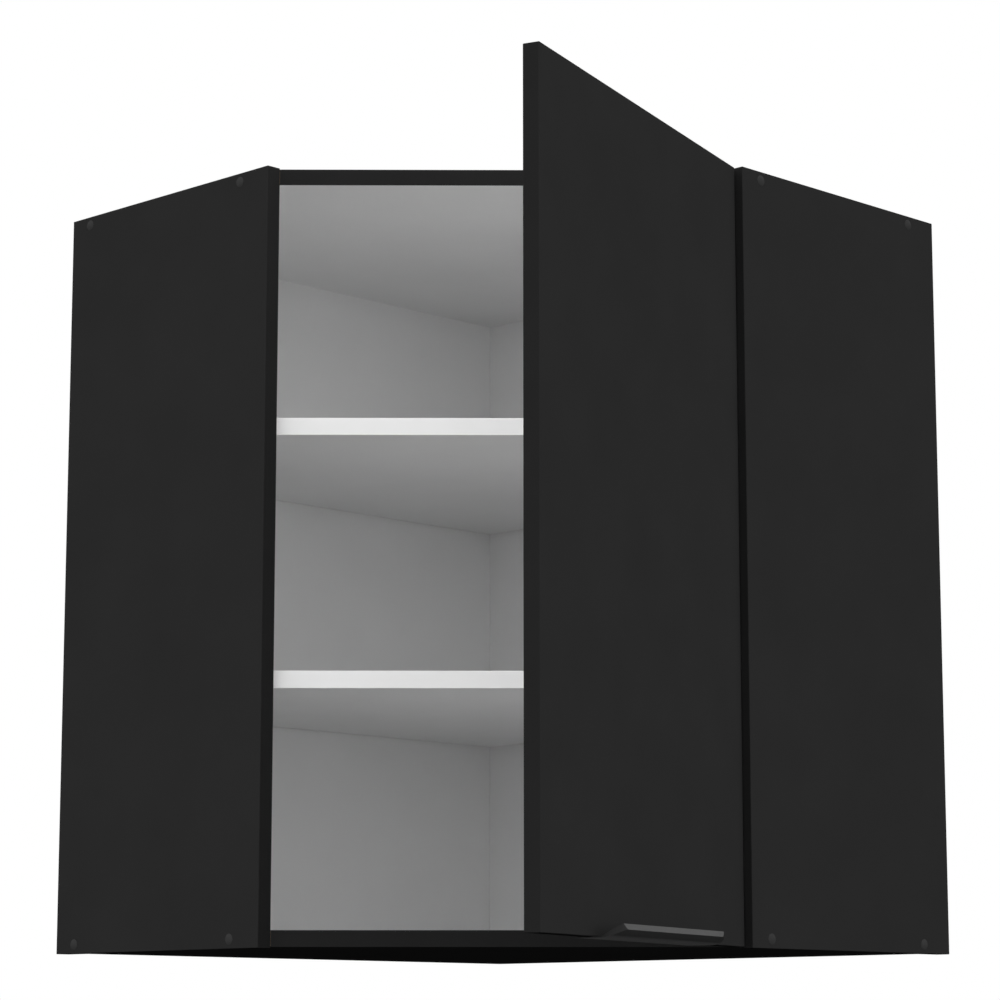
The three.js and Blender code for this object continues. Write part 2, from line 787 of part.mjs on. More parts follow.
// The mounting plate is a cross that is screwed to the side panel under the arm. Its raised spine
// fills the arm's channel, and takes the arm's screws.
function mountingPlateShape() {
  const wing = plateWidth / 2;
  const end = plateLength / 2;
  const spacing = plateScrewSpacing / 2;
  const waist = armWidth / 2;
  const cross = new THREE.Shape();
  cross.moveTo(plateMiddle - end, -waist);
  cross.absarc(plateMiddle, -spacing, wing, Math.PI, 2 * Math.PI, false);
  cross.lineTo(plateMiddle + wing, -waist);
  cross.lineTo(plateMiddle + end, -waist);
  cross.lineTo(plateMiddle + end, waist);
  cross.lineTo(plateMiddle + wing, waist);
  cross.absarc(plateMiddle, spacing, wing, 0, Math.PI, false);
  cross.lineTo(plateMiddle - wing, waist);
  cross.lineTo(plateMiddle - end, waist);
  cross.closePath();
  cross.holes = [-spacing, spacing].map((z) => roundHole(plateMiddle, z, hingeScrewHole));
  const spineHalf = waist - armSheet - fitGap;
  const spine = block(
    [plateMiddle - plateSpineLength / 2, fitGap, -spineHalf],
    [plateMiddle + plateSpineLength / 2, armHeight - armSheet - fitGap, spineHalf],
  );
  return join([upright(cross, fitGap, fitGap + plateThickness), spine]);
}

function addHinge(name, z) {
  const right = sides[1];
  piece(`hinge_${name}_cup`, cupShape(), steel, doorFrame, [cupCentre, 0, z]);
  piece(`hinge_${name}_arm`, armShape(), steel, right.group, [0, 0, z]);
  piece(`hinge_${name}_plate`, mountingPlateShape(), steel, right.group, [0, 0, z]);
  const link = piece(`hinge_${name}_link`, linkShape(), steel, right.group, [...linkAxis, z]);
  const fromPanel = Math.PI / 4 - right.turn; // between the panel's frame and the doorway's
  link.rotation.z = fromPanel + linkClosedAngle + linkRatio * openAngle;
}

// ---------------------------------------------------------------- assembly

for (const side of sides) {
  addSidePanel(side);
}
addEndPanel("bottom_panel", "lower", endStep);
addEndPanel("top_panel", "upper", topUnder);
addBacks();
for (const side of sides) {
  addCarcassFasteners(side);
  addHanger(side);
}
for (const [name, height] of Object.entries(shelfHeights)) {
  addShelfPins(name);
  addShelf(`shelf_${name}`, height);
}
addDoor();
addHandle();
for (const [name, z] of Object.entries(hingeHeights)) {
  addHinge(name, z);
}

export default cabinet;
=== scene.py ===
import json
import math

import bmesh
import bpy
from mathutils import Matrix, Vector


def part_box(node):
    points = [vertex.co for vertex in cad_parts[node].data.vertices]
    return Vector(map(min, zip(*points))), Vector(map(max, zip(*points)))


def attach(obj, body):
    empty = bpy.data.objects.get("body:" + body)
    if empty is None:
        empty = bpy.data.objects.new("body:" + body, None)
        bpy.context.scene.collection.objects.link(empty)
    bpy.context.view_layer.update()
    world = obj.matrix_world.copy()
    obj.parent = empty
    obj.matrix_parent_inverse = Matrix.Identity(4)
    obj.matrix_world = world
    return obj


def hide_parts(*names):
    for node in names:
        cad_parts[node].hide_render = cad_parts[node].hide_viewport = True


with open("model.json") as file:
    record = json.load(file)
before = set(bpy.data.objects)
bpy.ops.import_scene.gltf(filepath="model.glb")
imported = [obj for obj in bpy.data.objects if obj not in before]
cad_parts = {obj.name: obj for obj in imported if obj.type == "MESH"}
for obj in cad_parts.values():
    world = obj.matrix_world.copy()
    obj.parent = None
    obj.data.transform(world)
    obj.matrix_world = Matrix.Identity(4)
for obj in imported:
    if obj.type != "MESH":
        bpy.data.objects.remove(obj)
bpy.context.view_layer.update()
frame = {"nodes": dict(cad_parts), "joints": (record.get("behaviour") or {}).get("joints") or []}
MM = 0.001


# ---- Camera, light and floor
# The camera stands low in front of the diagonal door and looks up at the cabinet. The light is
# an even, soft sky. The floor is pale to the eye but throws little light back up, and least of
# all from under the cabinet.
CAMERA_PLACE = (2.4045, -2.4424, -0.0814)
CAMERA_HEADING = math.radians(44.55)
CAMERA_TILT = math.radians(9.81)
CAMERA_LENS = 112.70
WHITE = (1, 1, 1, 1)
SKY_STRENGTH = 1.9
FLOOR_HEIGHT = -1.4
FLOOR_SIZE = 40.0
FLOOR_PALE = (0.80, 0.80, 0.80, 1)
FLOOR_MIDDLE = (0.3, -0.3, FLOOR_HEIGHT)  # the spot under the cabinet
FLOOR_BOUNCE = (0.03, 0.12)  # the share of light thrown back, under the cabinet and well away
BOUNCE_GROWS = (0.8, 2.4)  # the distances from that spot between which the share grows

scene = bpy.context.scene
scene.view_settings.view_transform = "Standard"
camera_data = bpy.data.cameras.new("camera")
camera_data.lens = CAMERA_LENS
camera_data.sensor_width = 36
camera_data.clip_end = 100
camera = bpy.data.objects.new("camera", camera_data)
camera.location = CAMERA_PLACE
camera.rotation_euler = (math.pi / 2 + CAMERA_TILT, 0, CAMERA_HEADING)
scene.collection.objects.link(camera)
scene.camera = camera


def add(tree, kind, at=(0, 0), **values):
    """A node in a tree, with its settings and its inputs' values."""
    node = tree.nodes.new(kind)
    node.location = at
    for name, value in values.items():
        if name in node.inputs:
            node.inputs[name].default_value = value
        else:
            setattr(node, name, value)
    return node


def ranged(tree, value, taken, given, at):
    """Maps a value from one range to another, and holds it at their ends."""
    node = add(tree, "ShaderNodeMapRange", at)
    for name, limit in zip(("From Min", "From Max", "To Min", "To Max"), (*taken, *given)):
        node.inputs[name].default_value = limit
    tree.links.new(value, node.inputs["Value"])
    return node.outputs["Result"]


def seen_directly(tree):
    """One for the rays that show the background: the camera's, and those in gloss and glass."""
    path = add(tree, "ShaderNodeLightPath", (-700, 200))
    answer = path.outputs["Is Camera Ray"]
    for step, ray in enumerate(("Is Glossy Ray", "Is Transmission Ray")):
        larger = add(tree, "ShaderNodeMath", (-450 + 200 * step, 200), operation="MAXIMUM")
        tree.links.new(answer, larger.inputs[0])
        tree.links.new(path.outputs[ray], larger.inputs[1])
        answer = larger.outputs[0]
    return answer


def end_with(tree, lighting, shown, output):
    """Ends a tree with a shader for the rays that show the background, and one for the others."""
    choose = add(tree, "ShaderNodeMixShader", (250, 0))
    out = add(tree, output, (450, 0))
    tree.links.new(seen_directly(tree), choose.inputs[0])
    tree.links.new(lighting.outputs[0], choose.inputs[1])
    tree.links.new(shown.outputs[0], choose.inputs[2])
    tree.links.new(choose.outputs[0], out.inputs["Surface"])


world = bpy.data.worlds.new("sky")
world.use_nodes = True
scene.world = world
sky = world.node_tree
sky.nodes.clear()
light = add(sky, "ShaderNodeBackground", (0, 100), Color=WHITE, Strength=SKY_STRENGTH)
backdrop = add(sky, "ShaderNodeBackground", (0, -100), Color=WHITE, Strength=1.0)
end_with(sky, light, backdrop, "ShaderNodeOutputWorld")


def new_material(name):
    material = bpy.data.materials.new(name)
    material.use_nodes = True
    material.node_tree.nodes.clear()
    return material


floor_material = new_material("pale_floor")
tree = floor_material.node_tree
pale = add(tree, "ShaderNodeBsdfDiffuse", (0, -100), Color=FLOOR_PALE)
bounce = add(tree, "ShaderNodeBsdfDiffuse", (0, 100))
coords = add(tree, "ShaderNodeTexCoord", (-700, 500))
away = add(tree, "ShaderNodeVectorMath", (-500, 500), operation="DISTANCE")
away.inputs[1].default_value = FLOOR_MIDDLE
tree.links.new(coords.outputs["Object"], away.inputs[0])
share = ranged(tree, away.outputs["Value"], BOUNCE_GROWS, FLOOR_BOUNCE, (-300, 500))
tree.links.new(share, bounce.inputs["Color"])
end_with(tree, bounce, pale, "ShaderNodeOutputMaterial")

half = FLOOR_SIZE / 2
floor_mesh = bpy.data.meshes.new("floor")
corners = [(-half, -half), (half, -half), (half, half), (-half, half)]
floor_mesh.from_pydata([(x, y, FLOOR_HEIGHT) for x, y in corners], [], [(0, 1, 2, 3)])
floor_mesh.materials.append(floor_material)
floor = bpy.data.objects.new("floor", floor_mesh)
scene.collection.objects.link(floor)


# ---- Side panels
# Two 15 mm particle boards that carry everything else, black outside and white inside. Melamine
# is pressed on both faces, a black edging is glued on the front, top and bottom edges, and the
# rear edges, at the walls, are raw.
def value_sockets(group, inputs, outputs):
    """Gives a node group its named number inputs, with defaults, and its number outputs."""
    for name, default in inputs.items():
        socket = group.interface.new_socket(name, in_out="INPUT", socket_type="NodeSocketFloat")
        socket.default_value = default
    for name in outputs:
        group.interface.new_socket(name, in_out="OUTPUT", socket_type="NodeSocketFloat")
    return group.nodes.new("NodeGroupInput"), group.nodes.new("NodeGroupOutput")


def sized_noise(group, size, at, **settings):
    """A noise on the object, whose features are of the size that an output gives."""
    coords = add(group, "ShaderNodeTexCoord", (-900, at))
    per_metre = add(group, "ShaderNodeMath", (-700, at), operation="DIVIDE")
    per_metre.inputs[0].default_value = 1.0
    noise = add(group, "ShaderNodeTexNoise", (-500, at), **settings)
    group.links.new(size, per_metre.inputs[1])
    group.links.new(coords.outputs["Object"], noise.inputs["Vector"])
    group.links.new(per_metre.outputs[0], noise.inputs["Scale"])
    return noise.outputs["Fac"]


def grain_group():
    """Fine pores and broad patches on a surface, each as a noise between nought and one."""
    group = bpy.data.node_groups.new("fine_grain", "ShaderNodeTree")
    sizes = {"Pore Size": 0.001, "Patch Size": 0.08}
    given, result = value_sockets(group, sizes, ("Pores", "Patches"))
    for size, output, detail in (("Pore Size", "Pores", 3.0), ("Patch Size", "Patches", 2.0)):
        noise = sized_noise(group, given.outputs[size], 0, Detail=detail, Roughness=0.55)
        group.links.new(noise, result.inputs[output])
    return group


def facing_up(tree, at):
    """How far a surface faces up: the height of its normal."""
    surface = add(tree, "ShaderNodeNewGeometry", (-900, at))
    parts = add(tree, "ShaderNodeSeparateXYZ", (-700, at))
    tree.links.new(surface.outputs["Normal"], parts.inputs[0])
    return parts.outputs["Z"]


DUST_LIES = (0.75, 0.98)  # how far up a surface faces where dust first lies, and where most does


def dust_group():
    """Dust that has settled on what faces up, in specks and drifts: a mask."""
    group = bpy.data.node_groups.new("settled_dust", "ShaderNodeTree")
    given, result = value_sockets(group, {"Amount": 0.1, "Drift Size": 0.12}, ("Dust",))
    level = ranged(group, facing_up(group, 200), DUST_LIES, (0.0, 1.0), (-500, 200))
    drifts = sized_noise(group, given.outputs["Drift Size"], -100, Detail=8.0, Roughness=0.7)
    lying = add(group, "ShaderNodeMath", (-250, 0), operation="MULTIPLY")
    group.links.new(level, lying.inputs[0])
    group.links.new(drifts, lying.inputs[1])
    amount = add(group, "ShaderNodeMath", (-50, 0), operation="MULTIPLY")
    group.links.new(lying.outputs[0], amount.inputs[0])
    group.links.new(given.outputs["Amount"], amount.inputs[1])
    group.links.new(amount.outputs[0], result.inputs["Dust"])
    return group


GRAIN = grain_group()
DUST = dust_group()
DUST_COLOUR = (0.42, 0.40, 0.37, 1)
NOISE_SPREAD = (0.3, 0.7)  # where nearly all of a noise's values lie


def mixed(tree, factor, first, second, at):
    """Mixes two colours, each an output or a fixed colour."""
    node = add(tree, "ShaderNodeMix", at, data_type="RGBA")
    tree.links.new(factor, node.inputs[0])
    for socket, colour in ((node.inputs[6], first), (node.inputs[7], second)):
        if isinstance(colour, tuple):
            socket.default_value = colour
        else:
            tree.links.new(colour, socket)
    return node.outputs[2]


def opaque(tone):
    """A full colour, from a grey level or from red, green and blue."""
    return (*tone, 1) if isinstance(tone, tuple) else (tone, tone, tone, 1)


def finish(name, dark, light, rough, pore, relief, patch=0.08, dust=0.06, **fixed):
    """A material whose colour, roughness and relief vary with its grain, and that takes dust.
    dark and light are tones, rough the range of its roughness, pore and patch the sizes of its
    grain, and relief its bumps' strength. What is in fixed goes on the shader's own sockets."""
    material = new_material(name)
    tree = material.node_tree
    grain = add(tree, "ShaderNodeGroup", (-900, 0))
    grain.node_tree = GRAIN
    grain.inputs["Pore Size"].default_value = pore
    grain.inputs["Patch Size"].default_value = patch
    dusty = add(tree, "ShaderNodeGroup", (-900, -300))
    dusty.node_tree = DUST
    dusty.inputs["Amount"].default_value = dust
    patches = ranged(tree, grain.outputs["Patches"], NOISE_SPREAD, (0.0, 1.0), (-650, 200))
    clean = mixed(tree, patches, opaque(dark), opaque(light), (-450, 250))
    colour = mixed(tree, dusty.outputs["Dust"], clean, DUST_COLOUR, (-250, 250))
    smooth = ranged(tree, grain.outputs["Pores"], NOISE_SPREAD, rough, (-650, -50))
    rougher = add(tree, "ShaderNodeMath", (-250, -50), operation="ADD", use_clamp=True)
    tree.links.new(smooth, rougher.inputs[0])
    tree.links.new(dusty.outputs["Dust"], rougher.inputs[1])
    bump = add(tree, "ShaderNodeBump", (-250, -250), Strength=relief, Distance=pore)
    tree.links.new(grain.outputs["Pores"], bump.inputs["Height"])
    shader = add(tree, "ShaderNodeBsdfPrincipled")
    for socket, value in fixed.items():
        shader.inputs[socket.replace("_", " ")].default_value = value
    tree.links.new(colour, shader.inputs["Base Color"])
    tree.links.new(rougher.outputs[0], shader.inputs["Roughness"])
    tree.links.new(bump.outputs["Normal"], shader.inputs["Normal"])
    out = add(tree, "ShaderNodeOutputMaterial", (300, 0))
    tree.links.new(shader.outputs[0], out.inputs["Surface"])
    return material


CHIPS_PER_METRE = 620.0
CHIP_DARK = (0.21, 0.13, 0.07, 1)
CHIP_PALE = (0.56, 0.42, 0.27, 1)


def chipboard():
    """Raw particle board: pale and darker chips pressed together."""
    material = new_material("raw_chipboard")
    tree = material.node_tree
    coords = add(tree, "ShaderNodeTexCoord", (-900, 0))
    chips = add(tree, "ShaderNodeTexVoronoi", (-700, 0), Scale=CHIPS_PER_METRE,
                Randomness=1.0, feature="F1")
    tree.links.new(coords.outputs["Object"], chips.inputs["Vector"])
    tones = add(tree, "ShaderNodeValToRGB", (-450, 100))
    tones.color_ramp.elements[0].color = CHIP_DARK
    tones.color_ramp.elements[1].color = CHIP_PALE
    tree.links.new(chips.outputs["Color"], tones.inputs["Fac"])
    relief = add(tree, "ShaderNodeBump", (-450, -200), Strength=0.5, Distance=0.0004)
    tree.links.new(chips.outputs["Distance"], relief.inputs["Height"])
    shader = add(tree, "ShaderNodeBsdfPrincipled", Roughness=0.85)
    tree.links.new(tones.outputs["Color"], shader.inputs["Base Color"])
    tree.links.new(relief.outputs["Normal"], shader.inputs["Normal"])
    out = add(tree, "ShaderNodeOutputMaterial", (300, 0))
    tree.links.new(shader.outputs[0], out.inputs["Surface"])
    return material


BLACK_FACE = finish("black_melamine", 0.0184, 0.0198, rough=(0.60, 0.75), pore=0.0009, relief=0.10,
                    Specular_IOR_Level=0.0)
BLACK_EDGE = finish("black_edging", 0.0150, 0.0161, rough=(0.50, 0.62), pore=0.0006, relief=0.05,
                    patch=0.05, Specular_IOR_Level=0.0)
WHITE_FACE = finish("white_melamine", 0.905, 0.925, rough=(0.42, 0.52), pore=0.0010, relief=0.06)
CORE = chipboard()


def applied(piece):
    """The mesh that an object's modifiers make; the object itself goes."""
    scene.collection.objects.link(piece)
    finished = piece.evaluated_get(bpy.context.evaluated_depsgraph_get())
    mesh = bpy.data.meshes.new_from_object(finished)
    bpy.data.objects.remove(piece)
    return mesh


SAME_PLACE = 0.01 * MM  # two points nearer than this are one
FLAT = math.radians(0.5)  # two faces that meet at less than this are one
SMOOTH = math.radians(32)  # an edge shades softly where its faces meet at less than this
SHARP = math.radians(35)  # an edge is rounded where they meet at more than this


def weighted(mesh):
    """Smooth shading whose normals follow the large faces, so that these look flat."""
    mesh.shade_smooth()
    mesh.set_sharp_from_angle(angle=SMOOTH)
    piece = bpy.data.objects.new("shading", mesh)
    normals = piece.modifiers.new("normals", "WEIGHTED_NORMAL")
    normals.mode = "FACE_AREA"
    normals.weight = 100
    normals.keep_sharp = True
    return applied(piece)


def merged(mesh):
    """A mesh's surface with its doubles merged and its flat faces whole again."""
    bm = bmesh.new()
    bm.from_mesh(mesh)
    bmesh.ops.remove_doubles(bm, verts=bm.verts, dist=SAME_PLACE)
    bmesh.ops.dissolve_limit(bm, angle_limit=FLAT, verts=bm.verts, edges=bm.edges)
    return bm


def lay_seams_clear(bm):
    """Lays the seams from a flat face's holes to its outline anew, clear of each other, so that
    none crosses another when the outline is rounded."""
    folds = {edge for edge in bm.edges if edge.calc_face_angle(0) > FLAT}
    bmesh.ops.triangulate(bm, faces=bm.faces)
    seams = [edge for edge in bm.edges if edge not in folds]
    bmesh.ops.beautify_fill(bm, faces=bm.faces, edges=seams)
    seams = [edge for edge in bm.edges if edge not in folds]
    bmesh.ops.dissolve_limit(bm, angle_limit=FLAT, verts=[], edges=seams)


def rounded(bm, edges, radius, segments=2):
    """Rounds the edges and gives the finished mesh."""
    if radius:
        bmesh.ops.bevel(bm, geom=edges, offset=radius, segments=segments, affect="EDGES",
                        clamp_overlap=True, profile=0.5)
    mesh = bpy.data.meshes.new("rounded")
    bm.to_mesh(mesh)
    bm.free()
    return weighted(mesh)


def board(node, radius, choose, core):
    """A CAD board with its outer edges rounded. choose(normal) gives the material's number of
    each outer face, and core is what shows in a hole or a groove."""
    bm = merged(frame["nodes"][node].data)
    outer = set()
    for face in bm.faces:
        reach = face.normal.dot(face.verts[0].co) + SAME_PLACE
        if all(face.normal.dot(vert.co) < reach for vert in bm.verts):
            outer.add(face)
        face.material_index = choose(face.normal) if face in outer else core
    edges = [edge for edge in bm.edges
             if outer.issuperset(edge.link_faces) and edge.calc_face_angle(0) > SHARP]
    lay_seams_clear(bm)
    return rounded(bm, edges, radius)


def place(name, mesh, materials, body, slot, *replaced):
    """Puts a finished mesh into the scene as a piece on its body."""
    for material in materials:
        mesh.materials.append(material)
    piece = bpy.data.objects.new(name, mesh)
    scene.collection.objects.link(piece)
    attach(piece, body)
    if replaced:
        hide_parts(*replaced)
    return piece


PANEL_ROUND = 0.6 * MM
ALONG = 0.9  # a face looks along a way where its normal's part that way is larger
BLACK_BOARD = [BLACK_FACE, BLACK_EDGE, CORE, WHITE_FACE]
OUTSIDE, EDGED, RAW, INSIDE = range(4)  # the numbers of its materials
SIDES = {
    "left": {"to_wall": Vector((-1, 0, 0)), "inward": Vector((0, 1, 0))},
    "right": {"to_wall": Vector((0, 1, 0)), "inward": Vector((-1, 0, 0))},
}


def side_face(to_wall, inward):
    """How a side panel's faces are covered, for board()."""
    def choose(normal):
        if normal.dot(to_wall) > ALONG:
            return RAW
        looks_in = normal.dot(inward)
        if abs(looks_in) < ALONG:
            return EDGED
        return INSIDE if looks_in > 0 else OUTSIDE

    return choose


for side, ways in SIDES.items():
    mesh = board(f"side_{side}", PANEL_ROUND, side_face(**ways), RAW)
    place(f"side_{side}_board", mesh, BLACK_BOARD, "carcass", "black_board", f"side_{side}")


# ---- Top and bottom panels
# The same board, cut to a square with one corner off, with white towards the inside. The diagonal
# front edge is edged, and the edges at the side panels and the walls are raw.
TO_DOOR = Vector((1, -1, 0)).normalized()


def panel_face(inward_up):
    """How a panel's faces are covered, for board(). inward_up is 1 where its inside looks up."""
    def choose(normal):
        if abs(normal.z) > ALONG:
            return INSIDE if normal.z * inward_up > 0 else OUTSIDE
        return EDGED if normal.dot(TO_DOOR) > ALONG else RAW

    return choose


for name, inward_up in (("bottom_panel", 1), ("top_panel", -1)):
    mesh = board(name, PANEL_ROUND, panel_face(inward_up), RAW)
    place(f"{name}_board", mesh, BLACK_BOARD, "carcass", "black_board", name)


# ---- Backs
# On the left a 3 mm hardboard sheet slides in grooves, white in front and bare brown behind and
# at its edges. On the right stands a 16 mm board, white in front, with grey paper behind and raw
# edges.
HARDBOARD = finish("hardboard", (0.165, 0.093, 0.050), (0.21, 0.125, 0.070), rough=(0.65, 0.8),
                   pore=0.0006, relief=0.25, patch=0.03)
BACKING = finish("backing_paper", (0.50, 0.49, 0.47), (0.55, 0.54, 0.52), rough=(0.6, 0.75),
                 pore=0.0008, relief=0.12, patch=0.05)
BACK_ROUND = 0.2 * MM
FRONT, BARE, BEHIND = range(3)  # the numbers of a back's materials

mesh = board("back_left", 0.0, lambda normal: FRONT if normal.x > ALONG else BARE, BARE)
place("back_left_sheet", mesh, [WHITE_FACE, HARDBOARD], "carcass", "white_board", "back_left")


def back_right_face(normal):
    if abs(normal.y) < ALONG:
        return BARE
    return FRONT if normal.y < 0 else BEHIND


mesh = board("back_right", BACK_ROUND, back_right_face, BARE)
place("back_right_board", mesh, [WHITE_FACE, CORE, BACKING], "carcass", "white_board",
      "back_right")


# ---- Dowels, screws and caps of the carcass
# Fluted beech dowels are glued between the boards, and plated one-piece screws with a hexagon
# socket pull them together. A black domed cap is pressed into each screw's head.
STEEL = finish("nickel_plate", 0.50, 0.58, rough=(0.24, 0.36), pore=0.0005, relief=0.04,
               patch=0.02, dust=0.0, Metallic=1.0)
CAP_PLASTIC = finish("pressed_cap_plastic", 0.0305, 0.0325, rough=(0.5, 0.6), pore=0.0004,
                     relief=0.05, patch=0.01, Specular_IOR_Level=0.0)
BEECH = finish("turned_beech", (0.50, 0.31, 0.15), (0.62, 0.42, 0.22), rough=(0.6, 0.75),
               pore=0.0008, relief=0.2, patch=0.004, dust=0.0)


def sized_tree(name, sizes):
    """A geometry node tree with an input for the places, each size and the material."""
    tree = bpy.data.node_groups.new(name, "GeometryNodeTree")
    sockets = tree.interface
    sockets.new_socket("Places", in_out="INPUT", socket_type="NodeSocketGeometry")
    for size, default in sizes.items():
        socket = sockets.new_socket(size, in_out="INPUT", socket_type="NodeSocketFloat")
        socket.default_value = default
    sockets.new_socket("Material", in_out="INPUT", socket_type="NodeSocketMaterial")
    sockets.new_socket("Geometry", in_out="OUTPUT", socket_type="NodeSocketGeometry")
    return tree, tree.nodes.new("NodeGroupInput"), tree.nodes.new("NodeGroupOutput")


def wired(tree, kind, *sources, **values):
    """A node whose first inputs take the sources: outputs of other nodes, or numbers."""
    node = add(tree, kind, **values)
    for socket, source in zip(node.inputs, sources):
        if isinstance(source, bpy.types.NodeSocket):
            tree.links.new(source, socket)
        elif source is not None:
            socket.default_value = source
    return node


def maths(tree, operation, *sources):
    return wired(tree, "ShaderNodeMath", *sources, operation=operation).outputs[0]


def point(tree, x, y, z):
    return wired(tree, "ShaderNodeCombineXYZ", x, y, z).outputs[0]


def picked(tree, index, points):
    """The one of the points whose number is the index."""
    switch = add(tree, "GeometryNodeIndexSwitch", data_type="VECTOR")
    while len(switch.index_switch_items) < len(points):
        switch.index_switch_items.new()
    for socket, source in zip(switch.inputs, (index, *points)):
        tree.links.new(source, socket)
    return switch.outputs[0]


def total(tree, given, terms):
    """The sum of named inputs, each taken so many times."""
    answer = 0.0
    for name, times in terms.items():
        answer = maths(tree, "MULTIPLY_ADD", given.outputs[name], times, answer)
    return answer


WELD = 0.001 * MM  # points of a grown mesh that are nearer than this become one


def turned_body(tree, given, stations, segments, flutes=0):
    """A profile turned round Z into a closed mesh. Each station of the profile is its radius and
    its height, as sums of named inputs, and the stations go up."""
    rows = len(stations)
    grid = add(tree, "GeometryNodeMeshGrid")
    grid.inputs["Vertices X"].default_value = segments + 1
    grid.inputs["Vertices Y"].default_value = rows
    index = add(tree, "GeometryNodeInputIndex").outputs[0]
    column = wired(tree, "FunctionNodeIntegerMath", index, rows, operation="DIVIDE_FLOOR")
    row = wired(tree, "FunctionNodeIntegerMath", index, rows, operation="MODULO")
    profile = [point(tree, total(tree, given, radius), 0.0, total(tree, given, height))
               for radius, height in stations]
    station = wired(tree, "ShaderNodeSeparateXYZ", picked(tree, row.outputs[0], profile))
    turn = maths(tree, "MULTIPLY", column.outputs[0], 2 * math.pi / segments)
    radius = station.outputs["X"]
    if flutes:
        wave = maths(tree, "COSINE", maths(tree, "MULTIPLY", turn, float(flutes)))
        dip = maths(tree, "MULTIPLY", wave, given.outputs["Flute Depth"])
        radius = maths(tree, "MULTIPLY", radius, maths(tree, "SUBTRACT", 1.0, dip))
    spot = point(tree, maths(tree, "MULTIPLY", radius, maths(tree, "COSINE", turn)),
                 maths(tree, "MULTIPLY", radius, maths(tree, "SINE", turn)),
                 station.outputs["Z"])
    wrapped = add(tree, "GeometryNodeSetPosition")
    tree.links.new(grid.outputs["Mesh"], wrapped.inputs["Geometry"])
    tree.links.new(spot, wrapped.inputs["Position"])
    closed = add(tree, "GeometryNodeMergeByDistance", Distance=WELD)
    tree.links.new(wrapped.outputs[0], closed.inputs["Geometry"])
    return closed.outputs[0]


def moved(tree, body, shift, turn=(0, 0, 0)):
    """A body turned and then shifted."""
    node = add(tree, "GeometryNodeTransform", Rotation=turn)
    tree.links.new(body, node.inputs["Geometry"])
    tree.links.new(point(tree, *shift), node.inputs["Translation"])
    return node.outputs[0]


def joined(tree, *bodies):
    both = add(tree, "GeometryNodeJoinGeometry")
    for body in bodies:
        tree.links.new(body, both.inputs[0])
    return both.outputs[0]


def carve(tree, body, tool):
    """A body with a recess cut into it."""
    less = add(tree, "GeometryNodeMeshBoolean", operation="DIFFERENCE", solver="MANIFOLD")
    tree.links.new(body, less.inputs["Mesh 1"])
    tree.links.new(tool, less.inputs["Mesh 2"])
    return less.outputs["Mesh"]


def stand_on_places(tree, given, result, body):
    """Ends a tree: the body stands on every place, its Z along the place's facing."""
    facing = add(tree, "GeometryNodeInputNamedAttribute", data_type="FLOAT_VECTOR")
    facing.inputs["Name"].default_value = "facing"
    turn = add(tree, "FunctionNodeAlignRotationToVector", axis="Z")
    tree.links.new(facing.outputs["Attribute"], turn.inputs["Vector"])
    copies = add(tree, "GeometryNodeInstanceOnPoints")
    tree.links.new(given.outputs["Places"], copies.inputs["Points"])
    tree.links.new(body, copies.inputs["Instance"])
    tree.links.new(turn.outputs[0], copies.inputs["Rotation"])
    real = wired(tree, "GeometryNodeRealizeInstances", copies.outputs[0])
    painted = add(tree, "GeometryNodeSetMaterial")
    tree.links.new(real.outputs[0], painted.inputs["Geometry"])
    tree.links.new(given.outputs["Material"], painted.inputs["Material"])
    tree.links.new(painted.outputs[0], result.inputs["Geometry"])
    return tree


def grown(tree, spots, material, **sizes):
    """The mesh that a tree makes on spots, each a place and the way that its copy faces."""
    places = bpy.data.meshes.new("places")
    places.from_pydata([spot for spot, facing in spots], [], [])
    ways = places.attributes.new("facing", "FLOAT_VECTOR", "POINT")
    for i, (spot, facing) in enumerate(spots):
        ways.data[i].vector = facing
    piece = bpy.data.objects.new(tree.name, places)
    modifier = piece.modifiers.new(tree.name, "NODES")
    modifier.node_group = tree
    values = {size.replace("_", " "): value for size, value in sizes.items()}
    values["Material"] = material
    for socket in tree.interface.items_tree:
        if socket.name in values:
            modifier[socket.identifier] = values[socket.name]
    mesh = applied(piece)
    mesh.materials.clear()
    mesh.materials.append(material)
    return weighted(mesh)


DOWEL_LENGTH = 30 * MM


def dowel_tree():
    """The place is in the dowel's middle. The flutes' depth is a share of the radius."""
    sizes = {"Radius": 4 * MM, "Length": DOWEL_LENGTH, "Chamfer": 1 * MM, "Flute Depth": 0.03}
    tree, given, result = sized_tree("fluted_dowel", sizes)
    body = turned_body(tree, given, [
        ({}, {"Length": -0.5}),
        ({"Radius": 1, "Chamfer": -1}, {"Length": -0.5}),
        ({"Radius": 1}, {"Length": -0.5, "Chamfer": 1}),
        ({"Radius": 1}, {"Length": 0.5, "Chamfer": -1}),
        ({"Radius": 1, "Chamfer": -1}, {"Length": 0.5}),
        ({}, {"Length": 0.5}),
    ], segments=96, flutes=16)
    return stand_on_places(tree, given, result, body)


